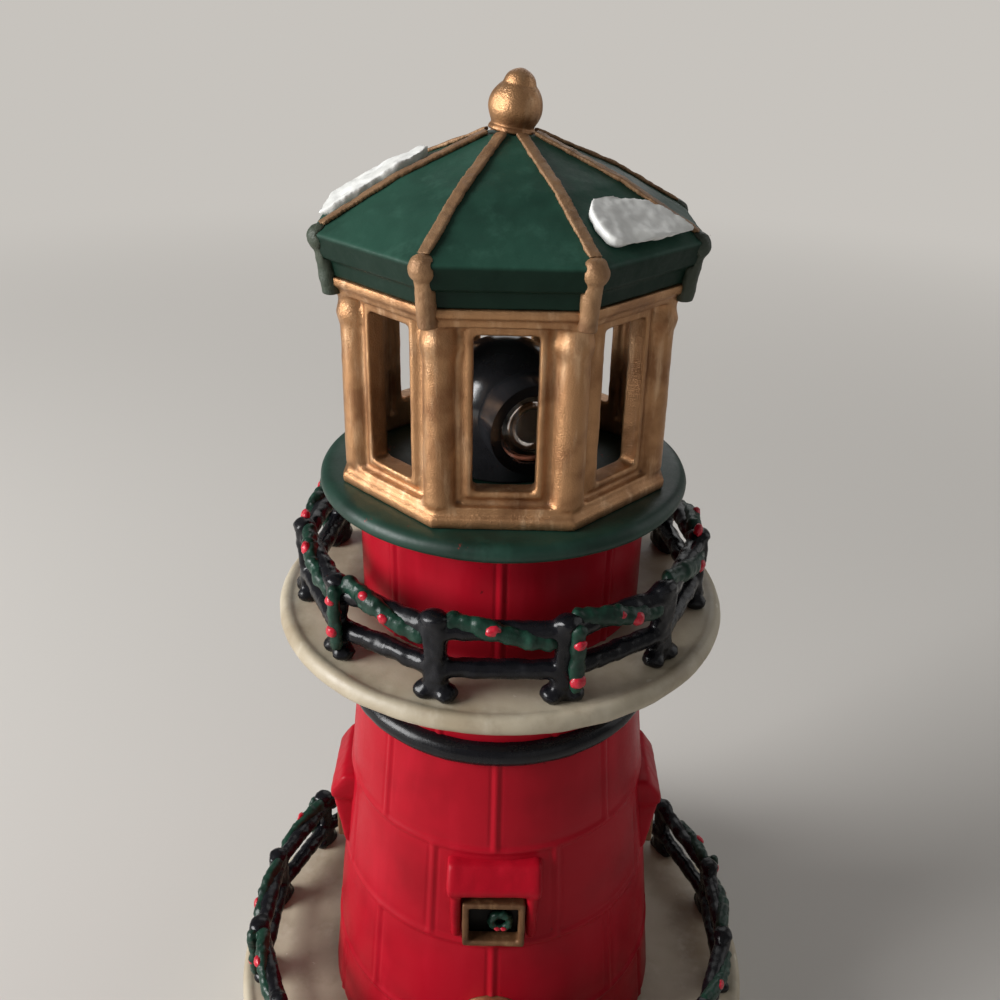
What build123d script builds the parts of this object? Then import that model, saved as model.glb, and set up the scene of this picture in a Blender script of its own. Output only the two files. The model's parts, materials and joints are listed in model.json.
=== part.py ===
"""Light-up lighthouse figurine: a cast, hand-painted tower with a turning beacon in its lantern room.

Millimetres, +Z up. The origin is on the surface it stands on, on the tower's axis. The front faces -Y.
"""

from build123d import *
from math import acos, atan2, cos, degrees, pi, radians, sin, sqrt, tan
import os

# Heights, from the foot up
foot_thickness = 1.5
plinth_height = 15.5
terrace_thickness = 5.0
tower_height = 112.2
gallery_thickness = 4.0
drum_height = 27.3
disc_thickness = 4.5
lantern_base_height = 4.0
lantern_wall_height = 35.5
cornice_height = 3.5
fascia_height = 8.2
roof_rise = 16.1

# Base
plinth_top_radius = 63.0
plinth_flare = 2.0
plinth_wall = 6.0
plinth_groove_height = 8.0
terrace_radius = 68.0
base_plate_thickness = 2.5
base_plate_recess = 2.5
foot_radius = 3.4
foot_count = 4
deck_edge_round = 1.7

# Tower
tower_foot_radius = 42.4
tower_top_radius = 31.0
tower_wall = 4.0
tower_ledge = 2.4
course_height = 25.6
top_course_height = 17.7
blocks_per_course = 8
groove_width = 1.5
groove_depth = 0.7
seam_depth = 0.5
ring_radius = 2.7

# Tower windows and door
window_count = 4
window_width = 14.0
window_height = 13.0
window_bar = 1.4
window_proud = 1.7
window_hood_gap = 2.2
hood_drop = 1.4
hood_width = 21.0
hood_height = 7.2
hood_proud = 4.4
hood_slope = 5.2
jamb_width = 2.5
jamb_step = 0.9
jamb_foot_proud = 0.5
pane_thickness = 1.2
pane_inset = 0.6
door_width = 17.0
door_height = 28.0
door_bar = 2.2
door_proud = 1.0
door_inset = 1.5
door_panel_depth = 0.6
door_rail = 2.6
door_stile = 2.5

# Galleries and their fences
gallery_radius = 50.0
gallery_fence_radius = 43.0
gallery_post_count = 11
terrace_fence_radius = 61.5
terrace_post_count = 16
post_width = 5.6
post_depth = 4.6
post_height = 20.0
post_foot_width = 9.6
post_foot_height = 3.2
rail_radius = 2.2
top_rail_height = 15.2
low_rail_height = 6.4
garland_radius = 2.0
garland_rise = 60.0
garland_fall = 40.0
garland_drop_length = 12.5
garland_gap = 0.4
garland_end_gap = 3.0

# Drum and lantern room
drum_radius = 31.0
drum_wall = 4.0
disc_rim = 4.0
sides = 8
column_inset = 4.1
column_radius = 3.2
column_neck_radius = 3.05
capital_radius = 3.7
capital_drop = 2.6
capital_height = 2.4
lantern_step_radius = 35.4
lantern_step_height = 2.2
lantern_ledge = 1.2
panel_thickness = 3.5
panel_proud = 1.1
opening_width = 11.8
opening_sill = 3.0
opening_head = 2.0
surround_width = 1.3
surround_proud = 0.9
cornice_inset = 0.2
cornice_bead = 1.2

# Roof
eave_overhang = 4.0
fascia_overhang = 0.6
fascia_step = 1.4
fascia_band_height = 3.6
roof_top_radius = 5.0
roof_bulge = 0.9
roof_wall = 3.2
rib_width = 2.3
rib_proud = 0.7
bracket_radius = 1.8
bracket_offset = -0.5
bracket_ball_radius = 2.6
bracket_sink = 1.9
finial_collar_radius = 4.7
finial_collar_height = 1.2
finial_ball_radius = 5.2
finial_ball_height = 4.4
finial_tip_radius = 2.7
finial_tip_rise = 2.1
snow_thickness = 2.2

# Beacon and its drive
beacon_aim = 21.0
beam_height = 13.4
beacon_radius = 13.5
beacon_wall = 1.5
beacon_dome_height = 13.0
beacon_skirt_height = 11.6
turntable_thickness = 1.8
turntable_lift = 0.6
hub_radius = 6.0
stem_radius = 4.0
stem_bore = 2.2
lens_radius = 8.1
lens_thickness = 1.6
bezel_rim = 1.4
bezel_depth = 3.0
lens_seat_depth = 2.1
lens_bulge = 1.8
snout_reach = 14.2
reflector_wall = 0.8
reflector_back = 6.0
reflector_steps = 5
led_radius = 2.5
led_height = 8.6
led_rim = 0.4
led_rim_height = 1.0
gear_module = 1.0
gear_teeth = 24
pinion_teeth = 12
gear_thickness = 4.0
pressure_angle = 25.0
gear_backlash = 0.14
gear_root_depth = 1.25
flank_steps = 3
motor_plate_thickness = 2.0
motor_plate_radius = 24.0
plate_drop = 9.6
pillar_radius = 2.5
pillar_circle = 20.5
pillar_count = 3
washer_thickness = 0.8
gearbox_width = 12.0
gearbox_depth = 10.0
gearbox_height = 9.0
motor_length = 15.0
shaft_radius = 1.5

# Batteries, switch and wiring
cell_radius = 5.25
cell_length = 44.5
cell_nub_radius = 1.75
cell_nub_length = 1.0
cell_count = 3
cell_gap = 0.5
contact_room = 3.0
contact_thickness = 0.4
tray_wall = 1.5
tray_rim = 1.2
switch_length = 14.0
switch_width = 7.0
switch_height = 6.0
switch_inset = 17.0
switch_travel = 4.0
slider_length = 4.6
slider_width = 3.6
slider_height = 2.0
slider_stem = 2.4
slider_reach = 1.6
wire_radius = 0.6
wire_spacing = 1.6
wire_bend = 12.0
wire_sway = 9.0

# Screws
screw_radius = 1.3
screw_head_radius = 2.6
screw_head_height = 1.4
base_screw_length = 9.0
plate_screw_length = 6.0
base_screw_count = 4
boss_radius = 5.0
boss_bite = 0.75

# Clearances
slide_gap = 0.3
seat_gap = 0.15
running_gap = 0.06

# Levels that follow from the heights
plinth_low = foot_thickness
terrace_low = plinth_low + plinth_height
terrace_top = terrace_low + terrace_thickness
gallery_low = terrace_top + tower_height
gallery_top = gallery_low + gallery_thickness
disc_low = gallery_top + drum_height
disc_top = disc_low + disc_thickness
wall_low = disc_top + lantern_base_height
wall_top = wall_low + lantern_wall_height
roof_low = wall_top + cornice_height
eave_level = roof_low + fascia_height
roof_top = eave_level + roof_rise
base_plate_low = plinth_low + base_plate_recess
base_plate_top = base_plate_low + base_plate_thickness

# Sizes that follow from the others
half_side = pi / sides
plinth_foot_radius = plinth_top_radius + plinth_flare
plinth_bore = plinth_top_radius - plinth_wall
switch_place = plinth_bore - switch_inset
tower_slope = (tower_foot_radius - tower_top_radius) / tower_height
tower_lean = degrees(atan2(tower_foot_radius - tower_top_radius, tower_height))
shaft_room = tower_top_radius - tower_wall
ring_level = gallery_low - top_course_height
hood_top = ring_level - course_height - groove_width / 2 - hood_drop
window_top = hood_top - hood_height - window_hood_gap
disc_radius = lantern_step_radius + disc_rim
lantern_base_radius = lantern_step_radius - lantern_ledge
column_circle = lantern_step_radius - column_inset
cornice_radius = lantern_step_radius - cornice_inset
fascia_foot_radius = lantern_step_radius + fascia_overhang
eave_radius = lantern_step_radius + eave_overhang
panel_face = column_circle * cos(half_side) + panel_proud
panel_back = panel_face - panel_thickness
panel_half_width = column_circle * sin(half_side) - column_radius - seat_gap
lantern_room_radius = panel_back / cos(half_side)
beam_level = disc_top + beam_height
turntable_low = disc_top + turntable_lift
turntable_top = turntable_low + turntable_thickness
plate_top = disc_low - plate_drop
plate_low = plate_top - motor_plate_thickness
gear_low = plate_top + washer_thickness
gear_top = gear_low + gear_thickness
pinion_place = gear_module * (gear_teeth + pinion_teeth) / 2
hub_bore = stem_radius + running_gap
tray_width = cell_count * 2 * cell_radius + (cell_count + 1) * cell_gap
tray_length = cell_length + 2 * contact_room
tray_depth = 2 * cell_radius + 2 * cell_gap
tray_top = base_plate_top + tray_depth + tray_wall
cell_level = base_plate_top + cell_gap + cell_radius
boss_circle = plinth_bore - boss_radius + boss_bite


def tower_radius(level):
    """Outer radius of the tower's cone at a height."""
    return tower_foot_radius - (level - terrace_top) * tower_slope


def tube(outer, inner, low, high):
    """Round tube between two heights."""
    return Pos(0, 0, low) * extrude(Circle(outer) - Circle(inner), high - low)


def turned(*outline):
    """Solid turned about Z from a closed outline of (radius, height) points."""
    return revolve(Plane.XZ * make_face(Polyline(*outline, close=True)), Axis.Z)


def octagon(radius, level):
    """Lantern octagon with a flat side to the front."""
    return Pos(0, 0, level) * RegularPolygon(radius, sides, rotation=degrees(half_side))


def octagon_prism(radius, low, high):
    return extrude(octagon(radius, low), high - low)


def block(width, depth, low, high, x=0.0, y=0.0):
    """Upright box centred on (x, y)."""
    return Pos(x, y, low) * Box(width, depth, high - low, align=(Align.CENTER, Align.CENTER, Align.MIN))


def rod(radius, low, high, x=0.0, y=0.0):
    """Upright round bar centred on (x, y)."""
    return Pos(x, y, low) * Cylinder(radius, high - low, align=(Align.CENTER, Align.CENTER, Align.MIN))


def around(shape, count, start=0.0):
    """Copies of a shape turned about Z, the first at the start angle."""
    return [Rot(0, 0, start + 360 / count * i) * shape for i in range(count)]


def group(solids):
    return Compound(children=list(solids))


def tower_cone(extra=0.0):
    """The tower's plain outer cone as a solid, carried on above and below."""
    low, high = terrace_top - course_height, gallery_low + course_height
    return turned((0, low), (tower_radius(low) + extra, low), (tower_radius(high) + extra, high), (0, high))


# Base

def make_felt_feet():
    place = (plinth_foot_radius + plinth_bore) / 2
    return group(around(rod(foot_radius, 0, foot_thickness, place), foot_count, 45))


def make_base_plinth():
    groove = plinth_low + plinth_groove_height
    lean = plinth_flare / plinth_height
    face = plinth_foot_radius - plinth_groove_height * lean
    ring = turned(
        (plinth_bore, plinth_low),
        (plinth_foot_radius, plinth_low),
        (face + groove_width / 2 * lean, groove - groove_width / 2),
        (face - groove_depth, groove),
        (face - groove_width / 2 * lean, groove + groove_width / 2),
        (plinth_top_radius, terrace_low),
        (plinth_bore, terrace_low),
    )
    boss = rod(boss_radius, base_plate_top, terrace_low, boss_circle)
    hole = rod(screw_radius, base_plate_top, base_plate_low + base_screw_length + slide_gap, boss_circle)
    return ring + around(boss, base_screw_count) - around(hole, base_screw_count)


def make_base_plate():
    plate = rod(plinth_bore - slide_gap, base_plate_low, base_plate_top)
    bay = block(
        tray_width + 2 * tray_rim, tray_length + 2 * tray_rim, base_plate_low, base_plate_top
    )
    slot = block(
        slider_stem + 2 * slide_gap,
        slider_stem + switch_travel + 2 * slide_gap,
        base_plate_low,
        base_plate_top,
        switch_place,
    )
    hole = rod(screw_radius + seat_gap, base_plate_low, base_plate_top, boss_circle)
    sink = rod(screw_head_radius + seat_gap, base_plate_low, base_plate_low + screw_head_height, boss_circle)
    return plate - bay - slot - around(hole + sink, base_screw_count)


def make_base_screws():
    shank = rod(screw_radius, base_plate_low, base_plate_low + base_screw_length, boss_circle)
    head = rod(screw_head_radius, base_plate_low, base_plate_low + screw_head_height, boss_circle)
    return group(around(shank + head, base_screw_count))


def make_terrace_deck():
    deck = tube(terrace_radius, tower_foot_radius - tower_wall - tower_ledge, terrace_low, terrace_top)
    rims = [e for e in deck.edges().filter_by(GeomType.CIRCLE) if e.radius > tower_foot_radius]
    return fillet(rims, min(deck_edge_round, 0.45 * terrace_thickness))


def make_battery_box():
    outer = block(tray_width + 2 * tray_wall, tray_length + 2 * tray_wall, base_plate_top, tray_top)
    inner = block(tray_width, tray_length, base_plate_top, tray_top - tray_wall)
    return outer - inner


def cell_places():
    """Where the cells lie side by side across the tray."""
    pitch = 2 * cell_radius + cell_gap
    return [(i - (cell_count - 1) / 2) * pitch for i in range(cell_count)]


def make_battery_cells():
    body = Rot(90, 0, 0) * Cylinder(cell_radius, cell_length - cell_nub_length)
    nub = Pos(0, cell_length / 2, 0) * Rot(90, 0, 0) * Cylinder(cell_nub_radius, cell_nub_length)
    cell = Pos(0, -cell_nub_length / 2, 0) * (body + nub)
    cells = []
    for i, x in enumerate(cell_places()):
        cells.append(Pos(x, 0, cell_level) * Rot(0, 0, 180 * (i % 2)) * cell)
    return group(cells)


def make_battery_contacts():
    """A bent leaf at each end of each cell, flat on the tray's end wall and bowed towards the cell."""
    wall = tray_length / 2
    bow = contact_room - cell_gap
    height = cell_radius
    outline = [
        (wall, -height / 2),
        (wall, height / 2),
        (wall - contact_thickness, height / 2),
        (wall - bow, 0),
        (wall - contact_thickness, -height / 2),
    ]
    hollow = [
        (wall, -height / 2 + 2 * contact_thickness),
        (wall, height / 2 - 2 * contact_thickness),
        (wall - bow + 2 * contact_thickness, 0),
    ]
    leaf_face = make_face(Polyline(*outline, close=True)) - make_face(Polyline(*hollow, close=True))
    leaf = extrude(Plane.YZ * leaf_face, cell_radius / 2, both=True)
    leaves = []
    for x in cell_places():
        for turn in (0, 180):
            leaves.append(Pos(x, 0, cell_level) * Rot(0, 0, turn) * leaf)
    return group(leaves)


def make_battery_door():
    width = tray_width + 2 * tray_rim - 2 * slide_gap
    length = tray_length + 2 * tray_rim - 2 * slide_gap
    door = block(width, length, base_plate_low, base_plate_top)
    grip_depth = base_plate_thickness / 2
    grip = block(width / 3, base_plate_thickness, base_plate_low, base_plate_low + grip_depth, 0, -length / 3)
    return door - grip


def make_switch_body():
    case = block(switch_width, switch_length, base_plate_top, base_plate_top + switch_height, switch_place)
    channel = block(
        slider_width + 2 * slide_gap,
        slider_length + switch_travel + 2 * slide_gap,
        base_plate_top,
        base_plate_top + slider_height + 2 * slide_gap,
        switch_place,
    )
    return case - channel


def make_switch_slider():
    place = -switch_travel / 2
    low = base_plate_top + slide_gap
    head = block(slider_width, slider_length, low, low + slider_height, switch_place, place)
    stem = block(slider_stem, slider_stem, base_plate_low - slider_reach, low, switch_place, place)
    return head + stem


# Tower

def course_seams():
    """Heights of the seams between the courses, from the ring down."""
    seams = []
    level = ring_level
    while level > terrace_top + groove_width:
        seams.append(level)
        level -= course_height
    return seams


def upright_groove(low, high, angle):
    """Seam between two blocks of a course, sunk into the cone."""
    middle = (low + high) / 2
    length = (high - low) / cos(radians(tower_lean))
    cutter = Rot(0, -tower_lean, 0) * Box(2 * seam_depth, groove_width, length)
    return Rot(0, 0, angle) * Pos(tower_radius(middle), 0, middle) * cutter


def window_block(width, low, high, inner, outer):
    """Radial block at the front, used for the openings and what fills them."""
    return block(width, outer - inner, low, high, 0, -(outer + inner) / 2)


def door_outline(inset):
    """Round-headed doorway seen from the front."""
    half = door_width / 2 - inset
    spring = door_height - door_width / 2
    return make_face(
        Polyline((-half, spring), (-half, 0), (half, 0), (half, spring))
        + ThreePointArc((half, spring), (0, spring + half), (-half, spring))
    )


def doorway(inset, inner, outer):
    """Round-headed block that runs from one distance to another in front of the axis."""
    face = Plane(origin=(0, -inner, terrace_top), x_dir=(1, 0, 0), z_dir=(0, -1, 0)) * door_outline(inset)
    return extrude(face, outer - inner)


def make_tower_shell():
    foot_bore = tower_foot_radius - tower_wall
    outline = [(foot_bore, terrace_top), (tower_foot_radius, terrace_top)]
    for seam in reversed(course_seams()):
        half = groove_width / 2
        outline += [
            (tower_radius(seam - half), seam - half),
            (tower_radius(seam) - groove_depth, seam),
            (tower_radius(seam + half), seam + half),
        ]
    outline += [(tower_top_radius, gallery_low), (shaft_room, gallery_low)]
    shell = turned(*outline)
    levels = [gallery_low + groove_width] + course_seams() + [terrace_top - groove_width]
    pitch = 360 / blocks_per_course
    grooves = []
    for row, (high, low) in enumerate(zip(levels, levels[1:])):
        start = -90 + pitch / 2 * ((row + 1) % 2)
        grooves += around(upright_groove(low, high, start), blocks_per_course)
    opening = window_block(
        window_width + 2 * seat_gap,
        window_top - window_height - seat_gap,
        window_top + seat_gap,
        shaft_room - tower_wall,
        tower_foot_radius,
    )
    door_gap = doorway(-seat_gap, shaft_room, tower_foot_radius + tower_wall)
    return shell - grooves - around(opening, window_count) - door_gap


def make_tower_ring():
    """Round moulding on the seam under the gallery, seated on the cone."""
    radius = tower_radius(ring_level)
    section = Pos(radius, ring_level) * Circle(ring_radius)
    return revolve(Plane.XZ * section, Axis.Z) - tower_cone()


def make_window_hoods():
    """Block over each window, with a jamb down either side that dies into the cone at the sill."""
    low = hood_top - hood_height
    sill = window_top - window_height
    face = tower_radius(low) + hood_proud
    inner = shaft_room
    outline = make_face(
        Polyline((inner, low), (face, low), (face, hood_top - hood_slope), (face - hood_proud, hood_top),
                 (inner, hood_top), close=True)
    )
    hood = Rot(0, 0, -90) * extrude(Plane.XZ * outline, hood_width / 2, both=True)
    jamb_side = make_face(
        Polyline((inner, low), (face - jamb_step, low), (tower_radius(sill) + jamb_foot_proud, sill),
                 (inner, sill), close=True)
    )
    opening = window_width + 2 * seat_gap
    jambs = Rot(0, 0, -90) * extrude(Plane.XZ * jamb_side, opening / 2 + jamb_width, both=True)
    jambs -= window_block(opening, sill - seat_gap, window_top + seat_gap, inner - tower_wall, face)
    return group(around(hood + jambs - tower_cone(), window_count))


def window_face():
    """Distance of the window frames' faces from the axis."""
    return tower_radius(window_top - window_height) + window_proud


def window_seat():
    """Distance of the panes' faces from the axis, inside the wall."""
    return tower_radius(window_top) - pane_inset


def make_window_frames():
    low = window_top - window_height
    outer = window_block(window_width, low, window_top, window_seat(), window_face())
    light = window_block(
        window_width - 2 * window_bar, low + window_bar, window_top - window_bar, window_seat(), window_face()
    )
    return group(around(outer - light, window_count))


def make_window_panes():
    low = window_top - window_height
    pane = window_block(window_width, low, window_top, window_seat() - pane_thickness, window_seat())
    return group(around(pane, window_count))


def make_door_frame():
    face = tower_foot_radius + door_proud
    back = tower_foot_radius - tower_wall
    return doorway(0, back, face) - doorway(door_bar, back, face)


def make_front_door():
    face = tower_foot_radius + door_proud - door_inset
    leaf = doorway(door_bar, tower_foot_radius - tower_wall, face)
    half = door_width / 2 - door_bar
    panel_height = (door_height - door_width / 2 - 3 * door_rail) / 2
    panels = []
    for x in (-half / 2, half / 2):
        for low in (terrace_top + door_rail, terrace_top + 2 * door_rail + panel_height):
            panels.append(block(half - door_stile, 2 * door_panel_depth, low, low + panel_height, x, -face))
    return leaf - panels


# Galleries

def make_gallery_deck():
    deck = tube(gallery_radius, shaft_room, gallery_low, gallery_top)
    rims = [e for e in deck.edges().filter_by(GeomType.CIRCLE) if e.radius > drum_radius]
    return fillet(rims, min(deck_edge_round, 0.45 * gallery_thickness))


def fence_post(radius, deck_top):
    """Upright with a flared foot and a chamfered head, on the +X side."""
    head = post_width / 5
    foot = post_foot_width / 2
    half = post_width / 2
    outline = make_face(
        Polyline((-foot, 0), (foot, 0), (half, post_foot_height), (half, post_height - head),
                 (half - head, post_height), (head - half, post_height), (-half, post_height - head),
                 (-half, post_foot_height), close=True)
    )
    return Pos(radius, 0, deck_top) * extrude(Plane.YZ * outline, post_depth / 2, both=True)


def fence_rail(radius, count, level):
    """Straight rail from the post at the start angle to the next one."""
    span = 2 * radius * sin(pi / count)
    bar = Rot(90, 0, 0) * Cylinder(rail_radius, span)
    return Rot(0, 0, 180 / count) * Pos(radius * cos(pi / count), 0, level) * bar


def fence_start(count):
    """Angle of the first post, so that a bay faces the front."""
    return -90 + 180 / count


def make_fence(radius, count, deck_top):
    start = fence_start(count)
    posts = around(fence_post(radius, deck_top), count, start)
    rails = []
    for height in (low_rail_height, top_rail_height):
        rails += around(fence_rail(radius, count, deck_top + height), count, start)
    return Part() + posts + rails


def make_garland(radius, count, deck_top):
    """A length wound over the face of each top rail, and a drop down the face of every second post."""
    wind = rail_radius + garland_radius + garland_gap
    half = radius * sin(pi / count) - post_width / 2 - garland_end_gap
    middle = radius * cos(pi / count)
    level = deck_top + top_rail_height
    places = []
    for along, turn in ((-half, garland_rise), (0, (garland_rise - garland_fall) / 2), (half, -garland_fall)):
        places.append((middle + wind * cos(radians(turn)), along, level + wind * sin(radians(turn))))
    path = ThreePointArc(*places)
    section = Plane(origin=path @ 0, z_dir=path % 0) * RegularPolygon(garland_radius, 6)
    length = Rot(0, 0, 180 / count) * sweep(section, path)
    start = fence_start(count)
    face = radius + post_depth / 2 + garland_radius + seat_gap
    high = deck_top + post_height - garland_radius
    drop = Pos(face, 0, high - garland_drop_length) * extrude(
        RegularPolygon(garland_radius, 6), garland_drop_length
    )
    drops = [Rot(0, 0, start - 2 * 360 / count * i) * drop for i in range(count // 2)]
    return group(around(length, count, start) + drops)


# Drum and lantern room

def make_watch_drum():
    drum = tube(drum_radius, drum_radius - drum_wall, gallery_top, disc_low)
    groove = block(2 * groove_depth, groove_width, gallery_top, disc_low, drum_radius)
    return drum - around(groove, blocks_per_course, -90)


def make_gallery_disc():
    disc = tube(disc_radius, hub_radius + slide_gap, disc_low, disc_top)
    rims = [e for e in disc.edges().filter_by(GeomType.CIRCLE) if e.radius > drum_radius]
    return fillet(rims, min(deck_edge_round, 0.4 * disc_thickness))


def make_lantern_base():
    step = octagon_prism(lantern_step_radius, disc_top, disc_top + lantern_step_height)
    body = octagon_prism(lantern_base_radius, disc_top, wall_low)
    return step + body - octagon_prism(lantern_room_radius, disc_top, wall_low)


def make_lantern_columns():
    """Turned column at each corner, with a capital ring near its head."""
    ring_high = wall_top - capital_drop
    ring_low = ring_high - capital_height
    bulge = (capital_radius + column_radius) / 2
    column = turned(
        (0, wall_low),
        (column_radius, wall_low),
        (column_neck_radius, ring_low - capital_height / 2),
        (bulge, ring_low),
        (capital_radius, (ring_low + ring_high) / 2),
        (bulge, ring_high),
        (column_radius, ring_high + capital_height / 3),
        (column_radius, wall_top),
        (0, wall_top),
    )
    return group(around(Pos(column_circle, 0, 0) * column, sides, degrees(half_side)))


def make_lantern_panels():
    """Window panel between each pair of columns: a flat frame with a raised surround."""
    clear = capital_radius - column_radius
    half = panel_half_width - clear
    low = wall_low + opening_sill
    high = wall_top - opening_head
    panel = block(2 * half, panel_thickness, wall_low, wall_top, 0, -(panel_face + panel_back) / 2)
    reach = min(surround_width, opening_head - seat_gap, opening_sill - seat_gap)
    surround = block(
        opening_width + 2 * surround_width, surround_proud, low - reach, high + reach, 0,
        -(panel_face + surround_proud / 2)
    )
    depth = 2 * (panel_thickness + surround_proud)
    opening = block(opening_width, depth, low, high, 0, -panel_face)
    return group(around(panel + surround - opening, sides))


def make_lantern_cornice():
    ring = octagon_prism(cornice_radius, wall_top, roof_low)
    bead = octagon_prism(cornice_radius + cornice_bead, wall_top + cornice_height / 2, roof_low)
    return ring + bead - octagon_prism(lantern_room_radius, wall_top, roof_low)


# Roof

def roof_mid():
    """Radius and height of the break half way up the slope."""
    radius = (eave_radius + roof_top_radius) / 2 + roof_bulge / 2
    return radius, (eave_level + roof_top) / 2 + roof_bulge


def roof_slopes(lift=0.0):
    """The eight slopes as a solid that stands on the eave."""
    radius, level = roof_mid()
    sections = [octagon(eave_radius, eave_level + lift), octagon(radius, level + lift),
                octagon(roof_top_radius, roof_top + lift)]
    return loft(sections[:2], ruled=True) + loft(sections[1:], ruled=True)


def make_roof():
    band = roof_low + fascia_band_height
    foot = loft([octagon(fascia_foot_radius, roof_low), octagon(fascia_foot_radius + fascia_step / 2, band)],
                ruled=True)
    fascia = loft([octagon(eave_radius - fascia_step, band), octagon(eave_radius, eave_level)], ruled=True)
    radius, level = roof_mid()
    hollow = loft(
        [octagon(lantern_room_radius, roof_low), octagon(radius, level - 2 * roof_wall)], ruled=True
    )
    return roof_slopes() + foot + fascia - hollow


def make_roof_brackets(roof):
    """Strap over the fascia at each corner, with a ball sunk into the eave."""
    head = eave_radius - bracket_sink
    ball = Pos(head, 0, eave_level - bracket_sink / 2) * Sphere(bracket_ball_radius)
    foot = cornice_radius + cornice_bead + bracket_offset
    drop = eave_level - wall_top
    tilt = degrees(atan2(head - foot, drop))
    length = sqrt(drop**2 + (head - foot) ** 2)
    strap = Pos(foot, 0, wall_top) * Rot(0, tilt, 0) * Cylinder(
        bracket_radius, length, align=(Align.CENTER, Align.CENTER, Align.MIN)
    )
    strap -= block(2 * eave_radius, 2 * eave_radius, wall_top - drop, wall_top)
    turn = Rot(0, 0, degrees(half_side))
    return turn * (ball + strap) - roof - make_lantern_cornice()


def make_roof_ribs(roof, bracket):
    """Gold strip along each hip, seated on both slopes."""
    radius, level = roof_mid()
    start = roof_top_radius
    outline = make_face(
        Polyline(
            (start, roof_top - rib_proud),
            (start, roof_top + rib_proud),
            (radius, level + rib_proud),
            (eave_radius, eave_level + rib_proud),
            (eave_radius, eave_level - rib_proud),
            (radius, level - rib_proud),
            close=True,
        )
    )
    rib = Rot(0, 0, degrees(half_side)) * extrude(Plane.XZ * outline, rib_width / 2, both=True)
    collar = rod(finial_collar_radius, roof_top - finial_collar_height, roof_top + finial_collar_height)
    return rib - roof - bracket - collar


def slope_patch(places):
    """Outline on the front slope from places across it and down it, each from 0 at the middle or the top."""
    outline = []
    for across, down in places:
        out = down * eave_radius * cos(half_side)
        outline.append((across * (out * tan(half_side) - rib_width), -out))
    return make_face(Spline(*outline, periodic=True))


def make_roof_snow():
    """Snow lying on two of the slopes."""
    deep = roof_slopes(snow_thickness) - roof_slopes()
    right = slope_patch([(-0.7, 0.7), (-0.15, 0.68), (0.4, 0.73), (0.8, 0.78), (0.97, 0.88), (0.94, 0.97),
                         (0.4, 0.98), (-0.25, 0.98), (-0.65, 0.95), (-0.85, 0.88), (-0.9, 0.78)])
    left = slope_patch([(-0.6, 0.52), (0.1, 0.43), (0.75, 0.48), (0.94, 0.65), (0.97, 0.85), (0.88, 0.96),
                        (0.2, 0.97), (-0.6, 0.95), (-0.85, 0.84), (-0.8, 0.65)])
    patches = []
    for outline, turn in ((right, 360 / sides), (left, -2 * 360 / sides)):
        prism = Rot(0, 0, turn) * extrude(Pos(0, 0, eave_level) * outline, 2 * roof_rise)
        patches.append(deep & prism)
    return group(patches)


def make_finial():
    """Collar, ball and acorn tip, standing on the roof's flat top."""
    ball_level = roof_top + finial_ball_height
    top = ball_level + finial_ball_radius + finial_tip_rise
    collar = rod(finial_collar_radius, roof_top, roof_top + finial_collar_height)
    ball = Pos(0, 0, ball_level) * Sphere(finial_ball_radius)
    ball -= block(4 * finial_ball_radius, 4 * finial_ball_radius, roof_top - finial_ball_radius, roof_top)
    tip = Pos(0, 0, top - finial_tip_radius) * Sphere(finial_tip_radius)
    return collar + ball + tip


# Beacon, made with the beam along -Y and then turned to its aim

def aimed(shape):
    return Rot(0, 0, beacon_aim) * shape


def along_beam(radius, near, far):
    """Round bar on the beam's axis, between two distances from the lamp."""
    bar = Cylinder(radius, far - near, align=(Align.CENTER, Align.CENTER, Align.MIN))
    return Pos(0, -near, beam_level) * Rot(90, 0, 0) * bar


def make_beacon_turntable():
    plate = tube(beacon_radius, hub_bore, turntable_low, turntable_top)
    hub = tube(hub_radius, hub_bore, gear_low, turntable_low)
    return plate + hub


def beacon_dome(radius, height):
    """Upright skirt with a rounded top."""
    shoulder = turntable_top + beacon_skirt_height
    outline = (
        Polyline((0, shoulder + height), (0, turntable_top), (radius, turntable_top), (radius, shoulder))
        + EllipticalCenterArc((0, shoulder), radius, height, start_angle=0, arc_size=90)
    )
    return revolve(Plane.XZ * make_face(outline), Axis.Z)


def make_beacon_hood():
    snout_radius = lens_radius + bezel_rim
    outer = beacon_dome(beacon_radius, beacon_dome_height) + along_beam(snout_radius, 0, snout_reach)
    outer -= block(4 * beacon_radius, 4 * beacon_radius, turntable_low - beacon_radius, turntable_top)
    inner = beacon_dome(beacon_radius - beacon_wall, beacon_dome_height - beacon_wall)
    throat = along_beam(lens_radius + reflector_wall + seat_gap, 0, snout_reach)
    return aimed(outer - inner - throat)


def make_beacon_bezel():
    near = snout_reach
    ring = along_beam(lens_radius + bezel_rim, near, near + bezel_depth)
    seat = along_beam(lens_radius + seat_gap, near, near + lens_seat_depth)
    light = along_beam(lens_radius - bezel_rim / 2, near, near + bezel_depth)
    return aimed(ring - seat - light)


def make_beacon_lens():
    """Flat-backed lens with a domed face, held behind the bezel's lip."""
    near = snout_reach + lens_seat_depth - lens_thickness
    disc = along_beam(lens_radius, near, near + lens_thickness)
    light = lens_radius - bezel_rim / 2 - seat_gap
    cap_radius = (light**2 + lens_bulge**2) / (2 * lens_bulge)
    face = near + lens_thickness
    ball = Pos(0, -(face + lens_bulge - cap_radius), beam_level) * Sphere(cap_radius)
    cap = ball & along_beam(light, face, face + 2 * lens_bulge)
    return aimed(disc + cap)


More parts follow.
